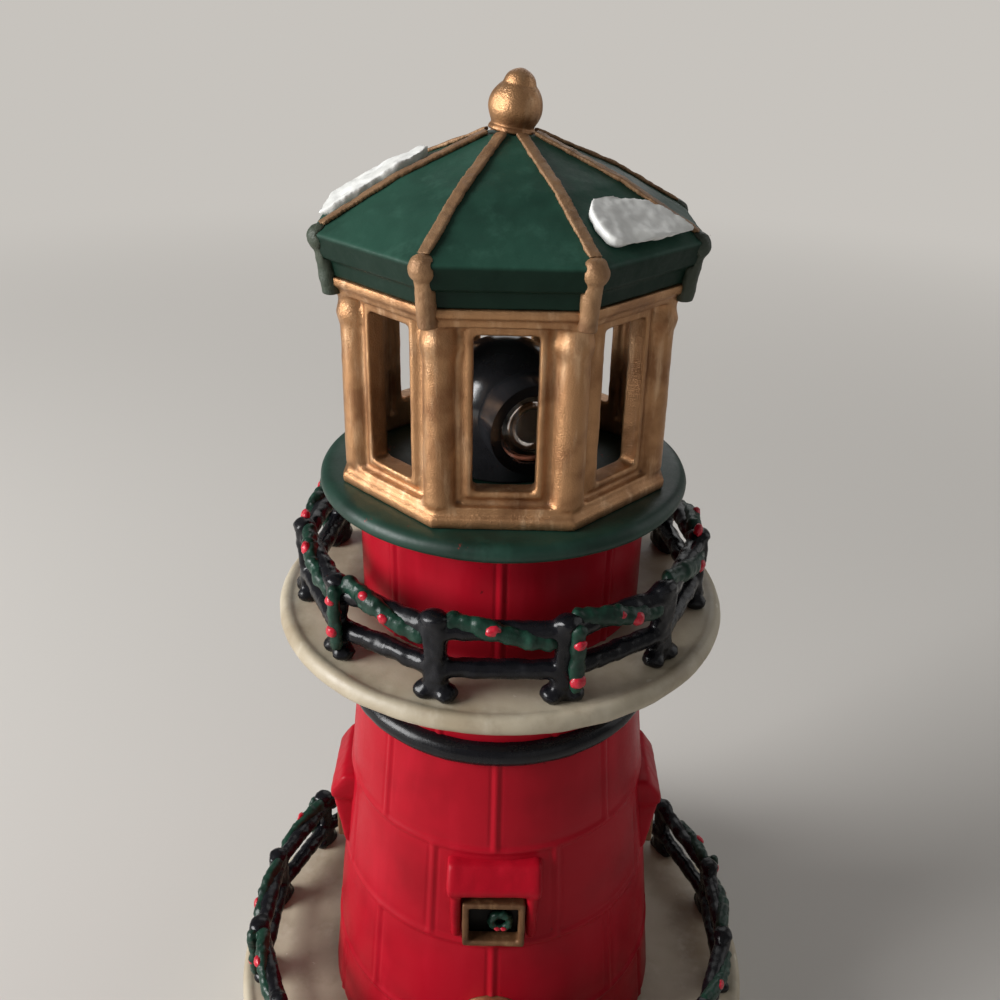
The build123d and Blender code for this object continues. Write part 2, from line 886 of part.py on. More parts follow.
def make_beacon_reflector():
    """Bright bowl round the lamp, spun in steps, with a hole under it for the fixed stem."""
    length = snout_reach + reflector_back
    inner, outer = [], []
    for i in range(reflector_steps + 1):
        turn = pi / 2 * i / reflector_steps
        inner.append((lens_radius * sin(turn), (length - reflector_wall) * cos(turn)))
        outer.append(((lens_radius + reflector_wall) * sin(turn), length * cos(turn)))
    cup = turned(*outer, *reversed(inner))
    hole = rod(stem_radius + slide_gap, turntable_low, beam_level)
    return aimed(Pos(0, -snout_reach, beam_level) * Rot(-90, 0, 0) * cup - hole)


def make_lamp_stem():
    """Fixed hollow post that the beacon turns on, pressed into the motor plate."""
    return tube(stem_radius, stem_bore, plate_low, beam_level - led_height / 2)


def make_lamp_bulb():
    low = beam_level - led_height / 2
    rim = rod(led_radius + led_rim, low, low + led_rim_height)
    body = rod(led_radius, low, low + led_height - led_radius)
    dome = Pos(0, 0, low + led_height - led_radius) * Sphere(led_radius)
    return rim + body + dome


# Drive under the disc

def involute_point(base, radius, shift):
    """Point of an involute flank at a radius, turned by a shift angle."""
    roll = acos(min(1.0, base / radius))
    turn = tan(roll) - roll + shift
    return radius * cos(turn), radius * sin(turn)


def gear_face(teeth):
    """Spur gear outline with thinned involute teeth, one tooth on +X."""
    pitch = gear_module * teeth / 2
    base = pitch * cos(radians(pressure_angle))
    tip = pitch + gear_module
    root = pitch - gear_root_depth * gear_module
    pressure = radians(pressure_angle)
    half = pi / (2 * teeth) - gear_backlash / pitch + tan(pressure) - pressure
    low = max(base, root)
    flank = []
    for i in range(flank_steps + 1):
        radius = low + (tip - low) * i / flank_steps
        x, y = involute_point(base, radius, -half)
        flank.append((x, y))
    foot = atan2(flank[0][1], flank[0][0])
    tooth = [(root * cos(foot), root * sin(foot))] + flank
    tooth += [(x, -y) for x, y in reversed(tooth)]
    points = []
    for i in range(teeth):
        turn = 2 * pi * i / teeth
        points += [(x * cos(turn) - y * sin(turn), x * sin(turn) + y * cos(turn)) for x, y in tooth]
    return make_face(Polyline(*points, close=True))


def make_beacon_gear():
    face = gear_face(gear_teeth) - Circle(hub_radius)
    return Pos(0, 0, gear_low) * extrude(face, gear_thickness)


def make_drive_pinion():
    face = gear_face(pinion_teeth) - Circle(shaft_radius)
    wheel = Rot(0, 0, 180 / pinion_teeth) * extrude(face, gear_thickness)
    return Pos(0, pinion_place, gear_low) * wheel


def make_motor_shaft():
    return rod(shaft_radius, plate_low - gearbox_height / 3, gear_top, 0, pinion_place)


def make_thrust_washer():
    return tube(hub_radius, stem_radius + seat_gap, plate_top, gear_low)


def make_motor_plate():
    plate = tube(motor_plate_radius, stem_radius, plate_low, plate_top)
    shaft_hole = rod(2 * shaft_radius, plate_low, plate_top, 0, pinion_place)
    screw_hole = rod(screw_radius + seat_gap, plate_low, plate_top, pillar_circle)
    return plate - shaft_hole - around(screw_hole, pillar_count, -90)


def make_plate_pillars():
    pillar = rod(pillar_radius, plate_top, disc_low, pillar_circle)
    hole = rod(screw_radius, plate_top, plate_low + plate_screw_length + slide_gap, pillar_circle)
    return group(around(pillar - hole, pillar_count, -90))


def make_plate_screws():
    shank = rod(screw_radius, plate_low, plate_low + plate_screw_length, pillar_circle)
    head = rod(screw_head_radius, plate_low - screw_head_height, plate_low, pillar_circle)
    return group(around(shank + head, pillar_count, -90))


def make_motor_gearbox():
    low = plate_low - gearbox_height
    case = block(gearbox_width, gearbox_depth, low, plate_low, 0, pinion_place)
    bore_low = plate_low - gearbox_height / 3 - slide_gap
    return case - rod(shaft_radius + running_gap, bore_low, plate_low, 0, pinion_place)


def make_motor_can():
    high = plate_low - gearbox_height
    can = rod(gearbox_width / 2, high - motor_length, high, 0, pinion_place)
    flats = block(gearbox_width, gearbox_depth, high - motor_length, high, 0, pinion_place)
    return can & flats


def wire(start, bottom, sway):
    """Wire that hangs from its start, swings to one side and drops to its end."""
    x, y, high = start
    middle = (high + bottom) / 2
    route = FilletPolyline(
        start,
        (x, y, middle + 2 * wire_bend),
        (x + sway, y, middle - wire_bend),
        (x + sway, y, bottom),
        radius=wire_bend,
    )
    section = Plane(origin=route @ 0, z_dir=route % 0) * Circle(wire_radius)
    return sweep(section, route)


def make_wire_loom():
    """A pair of wires from the lamp, down through its stem, and a pair from the motor, to the battery box."""
    lamp_low = beam_level - led_height / 2
    motor_low = plate_low - gearbox_height - motor_length
    wires = []
    for x in (-wire_spacing / 2, wire_spacing / 2):
        wires.append(wire((x, 0, lamp_low), tray_top, -wire_sway))
        wires.append(wire((x, pinion_place, motor_low), tray_top, wire_sway))
    return group(wires)


def build():
    """Every sub-part by its name."""
    roof = make_roof()
    bracket = make_roof_brackets(roof)
    rib = make_roof_ribs(roof, bracket)
    return {
        "felt_feet": make_felt_feet(),
        "base_plinth": make_base_plinth(),
        "base_plate": make_base_plate(),
        "base_screws": make_base_screws(),
        "terrace_deck": make_terrace_deck(),
        "terrace_fence": make_fence(terrace_fence_radius, terrace_post_count, terrace_top),
        "terrace_garland": make_garland(terrace_fence_radius, terrace_post_count, terrace_top),
        "battery_box": make_battery_box(),
        "battery_cells": make_battery_cells(),
        "battery_contacts": make_battery_contacts(),
        "battery_door": make_battery_door(),
        "switch_body": make_switch_body(),
        "switch_slider": make_switch_slider(),
        "tower_shell": make_tower_shell(),
        "tower_ring": make_tower_ring(),
        "window_hoods": make_window_hoods(),
        "window_frames": make_window_frames(),
        "window_panes": make_window_panes(),
        "door_frame": make_door_frame(),
        "front_door": make_front_door(),
        "gallery_deck": make_gallery_deck(),
        "gallery_fence": make_fence(gallery_fence_radius, gallery_post_count, gallery_top),
        "gallery_garland": make_garland(gallery_fence_radius, gallery_post_count, gallery_top),
        "watch_drum": make_watch_drum(),
        "gallery_disc": make_gallery_disc(),
        "lantern_base": make_lantern_base(),
        "lantern_columns": make_lantern_columns(),
        "lantern_panels": make_lantern_panels(),
        "lantern_cornice": make_lantern_cornice(),
        "roof": roof,
        "roof_brackets": group(around(bracket, sides)),
        "roof_ribs": group(around(rib, sides)),
        "roof_snow": make_roof_snow(),
        "finial": make_finial(),
        "beacon_turntable": make_beacon_turntable(),
        "beacon_gear": make_beacon_gear(),
        "beacon_hood": make_beacon_hood(),
        "beacon_bezel": make_beacon_bezel(),
        "beacon_reflector": make_beacon_reflector(),
        "beacon_lens": make_beacon_lens(),
        "lamp_stem": make_lamp_stem(),
        "lamp_bulb": make_lamp_bulb(),
        "drive_pinion": make_drive_pinion(),
        "motor_shaft": make_motor_shaft(),
        "thrust_washer": make_thrust_washer(),
        "motor_plate": make_motor_plate(),
        "plate_pillars": make_plate_pillars(),
        "plate_screws": make_plate_screws(),
        "motor_gearbox": make_motor_gearbox(),
        "motor_can": make_motor_can(),
        "wire_loom": make_wire_loom(),
    }


os.makedirs("parts", exist_ok=True)
for name, shape in build().items():
    export_step(shape, f"parts/{name}.step")
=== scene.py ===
import json
import math
import random

import bpy
from mathutils import Matrix, Vector


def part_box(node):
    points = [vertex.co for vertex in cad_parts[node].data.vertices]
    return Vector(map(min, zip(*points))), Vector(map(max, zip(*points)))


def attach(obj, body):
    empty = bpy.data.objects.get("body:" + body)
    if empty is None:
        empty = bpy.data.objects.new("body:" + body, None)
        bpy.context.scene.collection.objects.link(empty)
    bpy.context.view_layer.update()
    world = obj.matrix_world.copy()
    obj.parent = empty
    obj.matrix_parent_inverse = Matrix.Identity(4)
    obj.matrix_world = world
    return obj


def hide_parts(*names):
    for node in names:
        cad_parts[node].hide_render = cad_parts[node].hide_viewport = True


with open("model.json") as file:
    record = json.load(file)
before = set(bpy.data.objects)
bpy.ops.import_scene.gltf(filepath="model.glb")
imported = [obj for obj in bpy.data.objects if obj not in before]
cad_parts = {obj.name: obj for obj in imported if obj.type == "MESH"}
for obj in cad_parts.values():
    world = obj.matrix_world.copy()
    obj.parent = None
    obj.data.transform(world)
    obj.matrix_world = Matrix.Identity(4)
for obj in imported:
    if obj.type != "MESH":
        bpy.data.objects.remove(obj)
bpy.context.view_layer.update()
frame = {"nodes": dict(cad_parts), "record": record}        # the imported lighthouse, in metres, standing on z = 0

nodes = frame["nodes"]
mm = 0.001
fullTurn = 2 * math.pi
hair, touch = 0.01 * mm, 0.1 * mm  # how near counts as at, when points are picked by place
print("frame loaded:", len(nodes), "nodes")


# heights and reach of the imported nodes

def zLow(nodeName):
    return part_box(nodeName)[0].z


def zHigh(nodeName):
    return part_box(nodeName)[1].z


def reach(nodeName):  # radius of a round node
    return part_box(nodeName)[1].x


# working by hand: select, edit, apply

def clearAll():
    if bpy.context.mode != "OBJECT":
        bpy.ops.object.mode_set(mode="OBJECT")
    bpy.ops.object.select_all(action="DESELECT")


def takeUp(piece):
    clearAll()
    piece.select_set(True)
    bpy.context.view_layer.objects.active = piece
    return piece


def editAll(piece):
    takeUp(piece)
    bpy.ops.object.mode_set(mode="EDIT")
    bpy.ops.mesh.select_mode(type="VERT")
    bpy.ops.mesh.select_all(action="SELECT")


def choose(piece, kind, test):  # kind is FACE, EDGE or VERT; what passes the test stays selected
    takeUp(piece)
    bpy.ops.object.mode_set(mode="EDIT")
    bpy.ops.mesh.select_mode(type=kind)
    bpy.ops.mesh.select_all(action="DESELECT")
    bpy.ops.object.mode_set(mode="OBJECT")
    mesh = piece.data
    for part in {"FACE": mesh.polygons, "EDGE": mesh.edges, "VERT": mesh.vertices}[kind]:
        part.select = bool(test(part))
    bpy.ops.object.mode_set(mode="EDIT")


def done():
    bpy.ops.object.mode_set(mode="OBJECT")


def cutAt(piece, point, normal):
    editAll(piece)
    bpy.ops.mesh.bisect(plane_co=point, plane_no=normal)
    done()


def cleanUp(piece, distance=0.002 * mm):  # doubles merged, then faces outwards
    editAll(piece)
    bpy.ops.mesh.remove_doubles(threshold=distance)
    bpy.ops.mesh.normals_make_consistent(inside=False)
    done()


def useModifier(piece, kind, **settings):
    takeUp(piece)
    modifier = piece.modifiers.new(kind.lower(), kind)
    for key, value in settings.items():
        setattr(modifier, key, value)
    bpy.ops.object.modifier_apply(modifier=modifier.name)


def settle(piece):  # the place goes into the mesh, the object back to the origin
    takeUp(piece)
    bpy.ops.object.transform_apply(location=True, rotation=True, scale=True)
    return piece


def joinUp(pieces, name):
    clearAll()
    for piece in pieces:
        piece.select_set(True)
    bpy.context.view_layer.objects.active = pieces[0]
    if len(pieces) > 1:
        bpy.ops.object.join()
    pieces[0].name = name
    return pieces[0]


def copyPiece(piece):  # a copy with its own mesh
    takeUp(piece)
    bpy.ops.object.duplicate(linked=False)
    return bpy.context.object


def turned(piece, angle):  # turned about the tower's axis
    piece.rotation_euler.z = angle
    return settle(piece)


def copiesRound(piece, angles):
    copies = [turned(copyPiece(piece), angle) for angle in angles]
    bpy.data.objects.remove(piece)
    return copies


def frontAngle(degrees):  # angle about Z of a place so many degrees to the right of the front
    return math.radians(degrees - 90)


def lathe(name, outline, sides, closed=False):  # a circle pulled along (radius, height) steps
    radius, height = outline[0]
    clearAll()
    bpy.ops.mesh.primitive_circle_add(
        vertices=sides, radius=radius, fill_type="NOTHING" if closed else "NGON", location=(0, 0, height)
    )
    piece = settle(bpy.context.object)
    piece.name = name
    editAll(piece)
    for newRadius, newHeight in outline[1:] + (outline[:1] if closed else []):
        bpy.ops.mesh.extrude_region_move(TRANSFORM_OT_translate={"value": (0, 0, newHeight - height)})
        share = newRadius / radius
        bpy.ops.transform.resize(value=(share, share, 1), center_override=(0, 0, newHeight))
        radius, height = newRadius, newHeight
    done()
    cleanUp(piece)
    return piece


def makeClump(place, size):
    clearAll()
    bpy.ops.mesh.primitive_ico_sphere_add(subdivisions=2, radius=1, location=place)
    clump = bpy.context.object
    clump.scale = size
    return settle(clump)


def cutAway(piece, cutter):
    useModifier(piece, "BOOLEAN", operation="DIFFERENCE", solver="EXACT", object=cutter)
    bpy.data.objects.remove(cutter)


def makeBlock(name, low, high):
    clearAll()
    bpy.ops.mesh.primitive_cube_add(size=1, location=(Vector(low) + Vector(high)) / 2)
    piece = bpy.context.object
    piece.scale = Vector(high) - Vector(low)
    piece.name = name
    return settle(piece)


def lumps(piece, depth, size):  # uneven hand casting
    clouds = bpy.data.textures.new(piece.name + "Lumps", "CLOUDS")
    clouds.noise_scale = size
    clouds.noise_depth = 2
    useModifier(piece, "DISPLACE", texture=clouds, texture_coords="LOCAL", strength=depth, mid_level=0.5)


def castSkin(piece, voxel, rounds, lumpDepth, lumpSize):  # one soft skin over what was joined
    useModifier(piece, "REMESH", mode="VOXEL", voxel_size=voxel)
    useModifier(piece, "SMOOTH", factor=0.5, iterations=rounds)
    lumps(piece, lumpDepth, lumpSize)
    bpy.ops.object.shade_smooth()
    return piece


def cadCopy(nodeName):  # a merged copy of a node's mesh
    copy = bpy.data.objects.new(nodeName + "Copy", nodes[nodeName].data.copy())
    bpy.context.collection.objects.link(copy)
    editAll(copy)
    bpy.ops.mesh.customdata_custom_splitnormals_clear()
    bpy.ops.mesh.remove_doubles(threshold=0.001 * mm)
    done()
    return copy


def handOver(piece, name, body, slotName, material, *replaced):
    piece.name = name
    piece.data.name = name
    piece.data.materials.clear()
    piece.data.materials.append(material)
    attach(piece, body)
    if replaced:
        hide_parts(*replaced)
    print(name, "done:", len(piece.data.polygons), "faces")
    return piece


# shader nodes

def addNode(tree, kind, **settings):
    node = tree.nodes.new("ShaderNode" + kind)
    for key, value in settings.items():
        setattr(node, key, value)
    return node


def feed(tree, node, values):  # numbers, tones, or what other nodes give
    for label, value in values.items():
        if isinstance(value, (int, float)):
            node.inputs[label].default_value = value
        elif isinstance(value, tuple):
            node.inputs[label].default_value = (*value, 1)
        else:
            tree.links.new(value, node.inputs[label])
    return node


def addMath(tree, operation, first, second):
    return feed(tree, addNode(tree, "Math", operation=operation), {0: first, 1: second}).outputs[0]


def addRange(tree, value, low, high, toLow=0.0, toHigh=1.0):
    node = addNode(tree, "MapRange", interpolation_type="SMOOTHSTEP")
    feed(tree, node, {"Value": value, "From Min": low, "From Max": high, "To Min": toLow, "To Max": toHigh})
    return node.outputs["Result"]


def addMix(tree, share, first, second):
    return feed(tree, addNode(tree, "Mix", data_type="RGBA"), {0: share, 6: first, 7: second}).outputs[2]


def addNoise(tree, vector, scale, detail=3.0, roughness=0.55):
    values = {"Vector": vector, "Scale": scale, "Detail": detail, "Roughness": roughness}
    return feed(tree, addNode(tree, "TexNoise"), values).outputs["Fac"]


def addAxis(tree, place, axis):
    return feed(tree, addNode(tree, "SeparateXYZ"), {0: place}).outputs[axis]


def mixShaders(tree, share, near, far, outputName):
    mix = feed(tree, addNode(tree, "MixShader"), {0: share, 1: near.outputs[0], 2: far.outputs[0]})
    tree.links.new(mix.outputs[0], tree.nodes[outputName].inputs["Surface"])


def newMaterial(name):
    material = bpy.data.materials.new(name)
    material.use_nodes = True
    tree = material.node_tree
    place = addNode(tree, "TexCoord").outputs["Object"]
    return material, tree, tree.nodes["Principled BSDF"], place


# camera and stage

cameraLook = {
    "eye": (-0.9 * mm, -206.0 * mm, 266.9 * mm),
    "tilt": 26.25,  # degrees down
    "roll": 1.23,
    "sensor": 36,
    "lens": 37.98,
    "shift": (0.001, -0.024),
}


def makeCamera():
    data = bpy.data.cameras.new("photoCamera")
    data.sensor_width = cameraLook["sensor"]
    data.lens = cameraLook["lens"]
    data.shift_x, data.shift_y = cameraLook["shift"]
    data.clip_start = 0.01
    camera = bpy.data.objects.new("photoCamera", data)
    bpy.context.scene.collection.objects.link(camera)
    lean = Matrix.Rotation(math.radians(90 - cameraLook["tilt"]), 4, "X")
    roll = Matrix.Rotation(math.radians(cameraLook["roll"]), 4, "Z")
    camera.matrix_world = Matrix.Translation(cameraLook["eye"]) @ lean @ roll
    bpy.context.scene.camera = camera


stageLook = {
    "floorSize": 60.0,
    "floorColour": (0.62, 0.595, 0.56),
    "floorRoughness": 0.9,
    "floorShine": 0.0,
    "fade": (0.30, 1.1),  # from here to there the floor takes the backdrop's tone
    "worldColour": (0.62, 0.61, 0.60),
    "worldStrength": 0.26,
    "seenColour": (0.57, 0.545, 0.51),
}

# place, what it looks at, size and watts
lampLook = {
    "window": ((-1.10, -0.345, 0.59), (0.0, 0.0, 0.17), 0.68, 23.6),
    "roomFill": ((0.40, -0.80, 0.36), (0.0, 0.0, 0.15), 0.6, 0.30),
    "backFill": ((0.1, 0.75, 0.55), (0.0, 0.0, 0.15), 0.6, 1.0),
    "sideFill": ((0.80, 0.22, 0.42), (0.0, 0.0, 0.14), 0.7, 1.1),
}


def makeStage():
    look = stageLook
    clearAll()
    bpy.ops.mesh.primitive_plane_add(size=look["floorSize"])
    floor = bpy.context.object
    floor.name = "floor"
    material, tree, shader, place = newMaterial("paleFloor")
    feed(tree, shader, {
        "Base Color": look["floorColour"], "Roughness": look["floorRoughness"],
        "Specular IOR Level": look["floorShine"],
    })
    far = feed(tree, addNode(tree, "Emission"), {"Color": look["seenColour"]})
    away = feed(tree, addNode(tree, "VectorMath", operation="LENGTH"), {0: place})
    fade = addRange(tree, away.outputs["Value"], *look["fade"])
    path = addNode(tree, "LightPath").outputs
    share = addMath(tree, "MULTIPLY", fade, path["Is Camera Ray"])
    mixShaders(tree, share, shader, far, "Material Output")
    floor.data.materials.append(material)
    for name, (spot, target, size, watts) in lampLook.items():
        data = bpy.data.lights.new(name, "AREA")
        data.size = size
        data.energy = watts
        lamp = bpy.data.objects.new(name, data)
        bpy.context.scene.collection.objects.link(lamp)
        lamp.location = spot
        lamp.rotation_euler = (Vector(target) - Vector(spot)).to_track_quat("-Z", "Y").to_euler()
    world = bpy.context.scene.world or bpy.data.worlds.new("room")
    bpy.context.scene.world = world
    world.use_nodes = True
    tree = world.node_tree
    light = tree.nodes["Background"]
    feed(tree, light, {"Color": look["worldColour"], "Strength": look["worldStrength"]})
    seen = feed(tree, addNode(tree, "Background"), {"Color": look["seenColour"]})
    path = addNode(tree, "LightPath").outputs
    clear = addMath(tree, "MAXIMUM", path["Is Camera Ray"], path["Is Transmission Ray"])
    mixShaders(tree, clear, light, seen, "World Output")
    bpy.context.scene.view_settings.view_transform = "Standard"


makeCamera()
makeStage()
print("camera and stage set")


# shared paint effects; a range is noise from and to, then share from and to

brushLook = {
    "stretch": (1.0, 1.0, 0.16),  # strokes run upright
    "deep": (0.58, 0.30, 0.0, 0.75),
    "light": (0.50, 0.78, 0.0, 0.7),
    "patchHeight": 0.6,
}
# edge: raised edges lighter, partly wear and partly painted highlight; hollow: painted shade in the hollows
edgeAndShadeLook = {
    "spread": 0.05,
    "edge": (0.54, 0.62),
    "hollow": (0.48, 0.41),
}
grainLook = {
    "smearScale": 0.07,
    "fineShare": 0.4,
    "smearShare": 0.6,
    "blend": (0.3, 0.7),
}


def newGroup(name, inputs, outputs):
    group = bpy.data.node_groups.new(name, "ShaderNodeTree")
    for side, sockets in (("INPUT", inputs), ("OUTPUT", outputs)):
        for label, kind in sockets.items():
            group.interface.new_socket(label, in_out=side, socket_type="NodeSocket" + kind)
    start = group.nodes.new("NodeGroupInput")
    return group, start.outputs, group.nodes.new("NodeGroupOutput")


def makeBrushGroup():  # three tones of one paint, laid on with a brush
    group, start, end = newGroup(
        "brushedPaint",
        {"Vector": "Vector", "Main": "Color", "Deep": "Color", "Light": "Color",
         "Patches": "Float", "Strokes": "Float"},
        {"Color": "Color", "Height": "Float"},
    )
    stretch = addNode(group, "Mapping")
    stretch.inputs["Scale"].default_value = brushLook["stretch"]
    group.links.new(start["Vector"], stretch.inputs["Vector"])
    patches = addNoise(group, start["Vector"], start["Patches"])
    strokes = addNoise(group, stretch.outputs["Vector"], start["Strokes"], 4.0, 0.6)
    deep = addMix(group, addRange(group, patches, *brushLook["deep"]), start["Main"], start["Deep"])
    light = addMix(group, addRange(group, strokes, *brushLook["light"]), deep, start["Light"])
    low = addMath(group, "MULTIPLY", patches, brushLook["patchHeight"])
    feed(group, end, {"Color": light, "Height": addMath(group, "ADD", strokes, low)})
    return group


def makeEdgeAndShadeGroup():  # raised edges rubbed bare and lightened as a painted highlight, hollows darkened as painted shade
    group, start, end = newGroup(
        "edgesAndHollows", {"Vector": "Vector", "Break Up": "Float"}, {"Edge": "Float", "Hollow": "Float"}
    )
    shape = addNode(group, "NewGeometry").outputs["Pointiness"]
    noise = addNoise(group, start["Vector"], start["Break Up"], 4.0, 0.65)
    spread = addMath(group, "MULTIPLY", addMath(group, "SUBTRACT", noise, 0.5), edgeAndShadeLook["spread"])
    ragged = addMath(group, "ADD", shape, spread)
    edge = addRange(group, ragged, *edgeAndShadeLook["edge"])
    hollow = addRange(group, ragged, *edgeAndShadeLook["hollow"])
    feed(group, end, {"Edge": edge, "Hollow": hollow})
    return group


def makeGrainGroup():  # fine grain that breaks up a gloss
    group, start, end = newGroup(
        "fineGrain",
        {"Vector": "Vector", "Grain": "Float", "Smooth": "Float", "Rough": "Float"},
        {"Roughness": "Float", "Height": "Float"},
    )
    grain = addNoise(group, start["Vector"], start["Grain"], 5.0, 0.6)
    smearScale = addMath(group, "MULTIPLY", start["Grain"], grainLook["smearScale"])
    smears = addNoise(group, start["Vector"], smearScale)
    fine = addMath(group, "MULTIPLY", grain, grainLook["fineShare"])
    broad = addMath(group, "MULTIPLY", smears, grainLook["smearShare"])
    share = addRange(group, addMath(group, "ADD", fine, broad), *grainLook["blend"])
    span = addMath(group, "SUBTRACT", start["Rough"], start["Smooth"])
    result = addMath(group, "ADD", start["Smooth"], addMath(group, "MULTIPLY", span, share))
    feed(group, end, {"Roughness": result, "Height": grain})
    return group


brushGroup = makeBrushGroup()
edgeAndShadeGroup = makeEdgeAndShadeGroup()
grainGroup = makeGrainGroup()


# finishes

def addGroup(tree, group, place, values):
    return feed(tree, addNode(tree, "Group", node_tree=group), {"Vector": place, **values})


def addBump(tree, shader, height, strength, distance):
    bump = feed(tree, addNode(tree, "Bump"), {"Strength": strength, "Distance": distance, "Height": height})
    tree.links.new(bump.outputs["Normal"], shader.inputs["Normal"])


def layCoat(tree, shader, place, look):  # brushed tones, painted shade in the hollows, worn edges with a painted highlight, brush marks
    paint = addGroup(tree, brushGroup, place, {
        "Main": look["main"], "Deep": look["deep"], "Light": look["light"],
        "Patches": look["patches"], "Strokes": look["strokes"],
    }).outputs
    edgeAndShade = addGroup(tree, edgeAndShadeGroup, place, {"Break Up": look["breakUp"]}).outputs
    grain = addGroup(tree, grainGroup, place, {
        "Grain": look["grain"], "Smooth": look["gloss"][0], "Rough": look["gloss"][1],
    }).outputs
    # painted shade mixed into the hollows, wear and painted highlight onto the raised edges
    inHollowShade = addMath(tree, "MULTIPLY", edgeAndShade["Hollow"], look["hollowShare"])
    onEdgesWearAndHighlight = addMath(tree, "MULTIPLY", edgeAndShade["Edge"], look["edgeShare"])
    hollowShaded = addMix(tree, inHollowShade, paint["Color"], look["hollow"])
    tree.links.new(grain["Roughness"], shader.inputs["Roughness"])
    fine = addMath(tree, "MULTIPLY", grain["Height"], look["grainHeight"])
    addBump(tree, shader, addMath(tree, "ADD", paint["Height"], fine), look["bump"], look["bumpDepth"])
    return addMix(tree, onEdgesWearAndHighlight, hollowShaded, look["edge"]), edgeAndShade["Hollow"]


# tones, worn edge with a painted highlight, painted shade in the hollows, gloss range, and how deep the brush
# marks are
paintLook = {
    "redPaint": {"main": (0.36, 0.004, 0.014), "deep": (0.23, 0.002, 0.008), "light": (0.43, 0.008, 0.022),
                 "edge": (0.55, 0.05, 0.072), "edgeShare": 0.55, "hollow": (0.15, 0.003, 0.006),
                 "hollowShare": 0.75, "gloss": (0.32, 0.46), "shine": 0.12, "chip": (0.10, 0.003, 0.006),
                 "chipScale": 210.0, "chipCut": 0.70, "patches": 38.0, "strokes": 130.0, "bump": 0.10},
    "creamPaint": {"main": (0.47, 0.410, 0.305), "deep": (0.30, 0.235, 0.150), "light": (0.57, 0.515, 0.41),
                   "edge": (0.66, 0.62, 0.53), "edgeShare": 0.6, "hollow": (0.16, 0.10, 0.06),
                   "hollowShare": 0.6, "gloss": (0.36, 0.55), "chip": (0.74, 0.71, 0.63),
                   "chipScale": 150.0, "chipCut": 0.70, "stain": (0.22, 0.155, 0.095), "stainScale": 62.0,
                   "stainCut": (0.48, 0.68), "patches": 48.0, "strokes": 160.0, "bump": 0.16},
    "blackPaint": {"main": (0.006, 0.006, 0.008), "deep": (0.003, 0.003, 0.004),
                   "light": (0.013, 0.014, 0.018), "edge": (0.11, 0.11, 0.12), "edgeShare": 0.22,
                   "hollow": (0.003, 0.002, 0.002), "hollowShare": 0.6, "gloss": (0.18, 0.34),
                   "shine": 0.28, "chip": (0.30, 0.26, 0.24), "chipScale": 140.0, "chipCut": 0.73,
                   "patches": 90.0, "strokes": 260.0, "bump": 0.09},
    # roofGreen's eave tone is painted shade on the fascia under the overhang
    "roofGreen": {"main": (0.020, 0.066, 0.045), "deep": (0.010, 0.034, 0.023),
                  "light": (0.036, 0.100, 0.071), "edge": (0.08, 0.17, 0.13), "edgeShare": 0.35,
                  "hollow": (0.004, 0.014, 0.010), "hollowShare": 0.7, "gloss": (0.38, 0.58), "shine": 0.14,
                  "eave": (0.003, 0.014, 0.008), "eaveHeight": (8.4 * mm, 7.4 * mm), "patches": 50.0,
                  "strokes": 190.0, "bump": 0.14},
    "discGreen": {"main": (0.009, 0.036, 0.024), "deep": (0.005, 0.018, 0.012),
                  "light": (0.018, 0.060, 0.042), "edge": (0.055, 0.12, 0.095), "edgeShare": 0.35,
                  "hollow": (0.003, 0.009, 0.006), "hollowShare": 0.7, "gloss": (0.34, 0.52), "shine": 0.35,
                  "chip": (0.20, 0.016, 0.014), "chipScale": 150.0, "chipCut": 0.64, "patches": 60.0,
                  "strokes": 170.0, "bump": 0.12},
    "garlandGreen": {"main": (0.007, 0.034, 0.021), "deep": (0.003, 0.012, 0.008),
                     "light": (0.020, 0.072, 0.048), "edge": (0.07, 0.15, 0.115), "edgeShare": 0.4,
                     "hollow": (0.002, 0.006, 0.004), "hollowShare": 0.85, "gloss": (0.24, 0.44),
                     "shine": 0.3, "patches": 240.0, "strokes": 420.0, "bump": 0.25},
    "snowWhite": {"main": (0.76, 0.76, 0.73), "deep": (0.68, 0.68, 0.64), "light": (0.86, 0.86, 0.84),
                  "edge": (0.88, 0.88, 0.87), "edgeShare": 0.3, "hollow": (0.58, 0.57, 0.53),
                  "hollowShare": 0.3, "gloss": (0.40, 0.60), "patches": 90.0, "strokes": 200.0,
                  "bump": 0.14},
    "berryRed": {"main": (0.52, 0.010, 0.030), "deep": (0.32, 0.005, 0.015), "light": (0.66, 0.04, 0.07),
                 "edge": (0.80, 0.20, 0.24), "edgeShare": 0.25, "hollow": (0.12, 0.003, 0.006),
                 "hollowShare": 0.6, "gloss": (0.22, 0.36), "patches": 500.0, "strokes": 900.0,
                 "bump": 0.10},
}


# what all these coats share
coatLook = {
    "wearPerStroke": 2.2,
    "grainPerStroke": 9,
    "grainHeight": 0.25,
    "bumpDepth": 0.6 * mm,
    "stainShare": 0.4,
    "eaveShare": 0.9,
    "chipShare": 0.85,
    "chipBlend": 0.03,
    "shine": 0.5,  # where a coat has none of its own
}


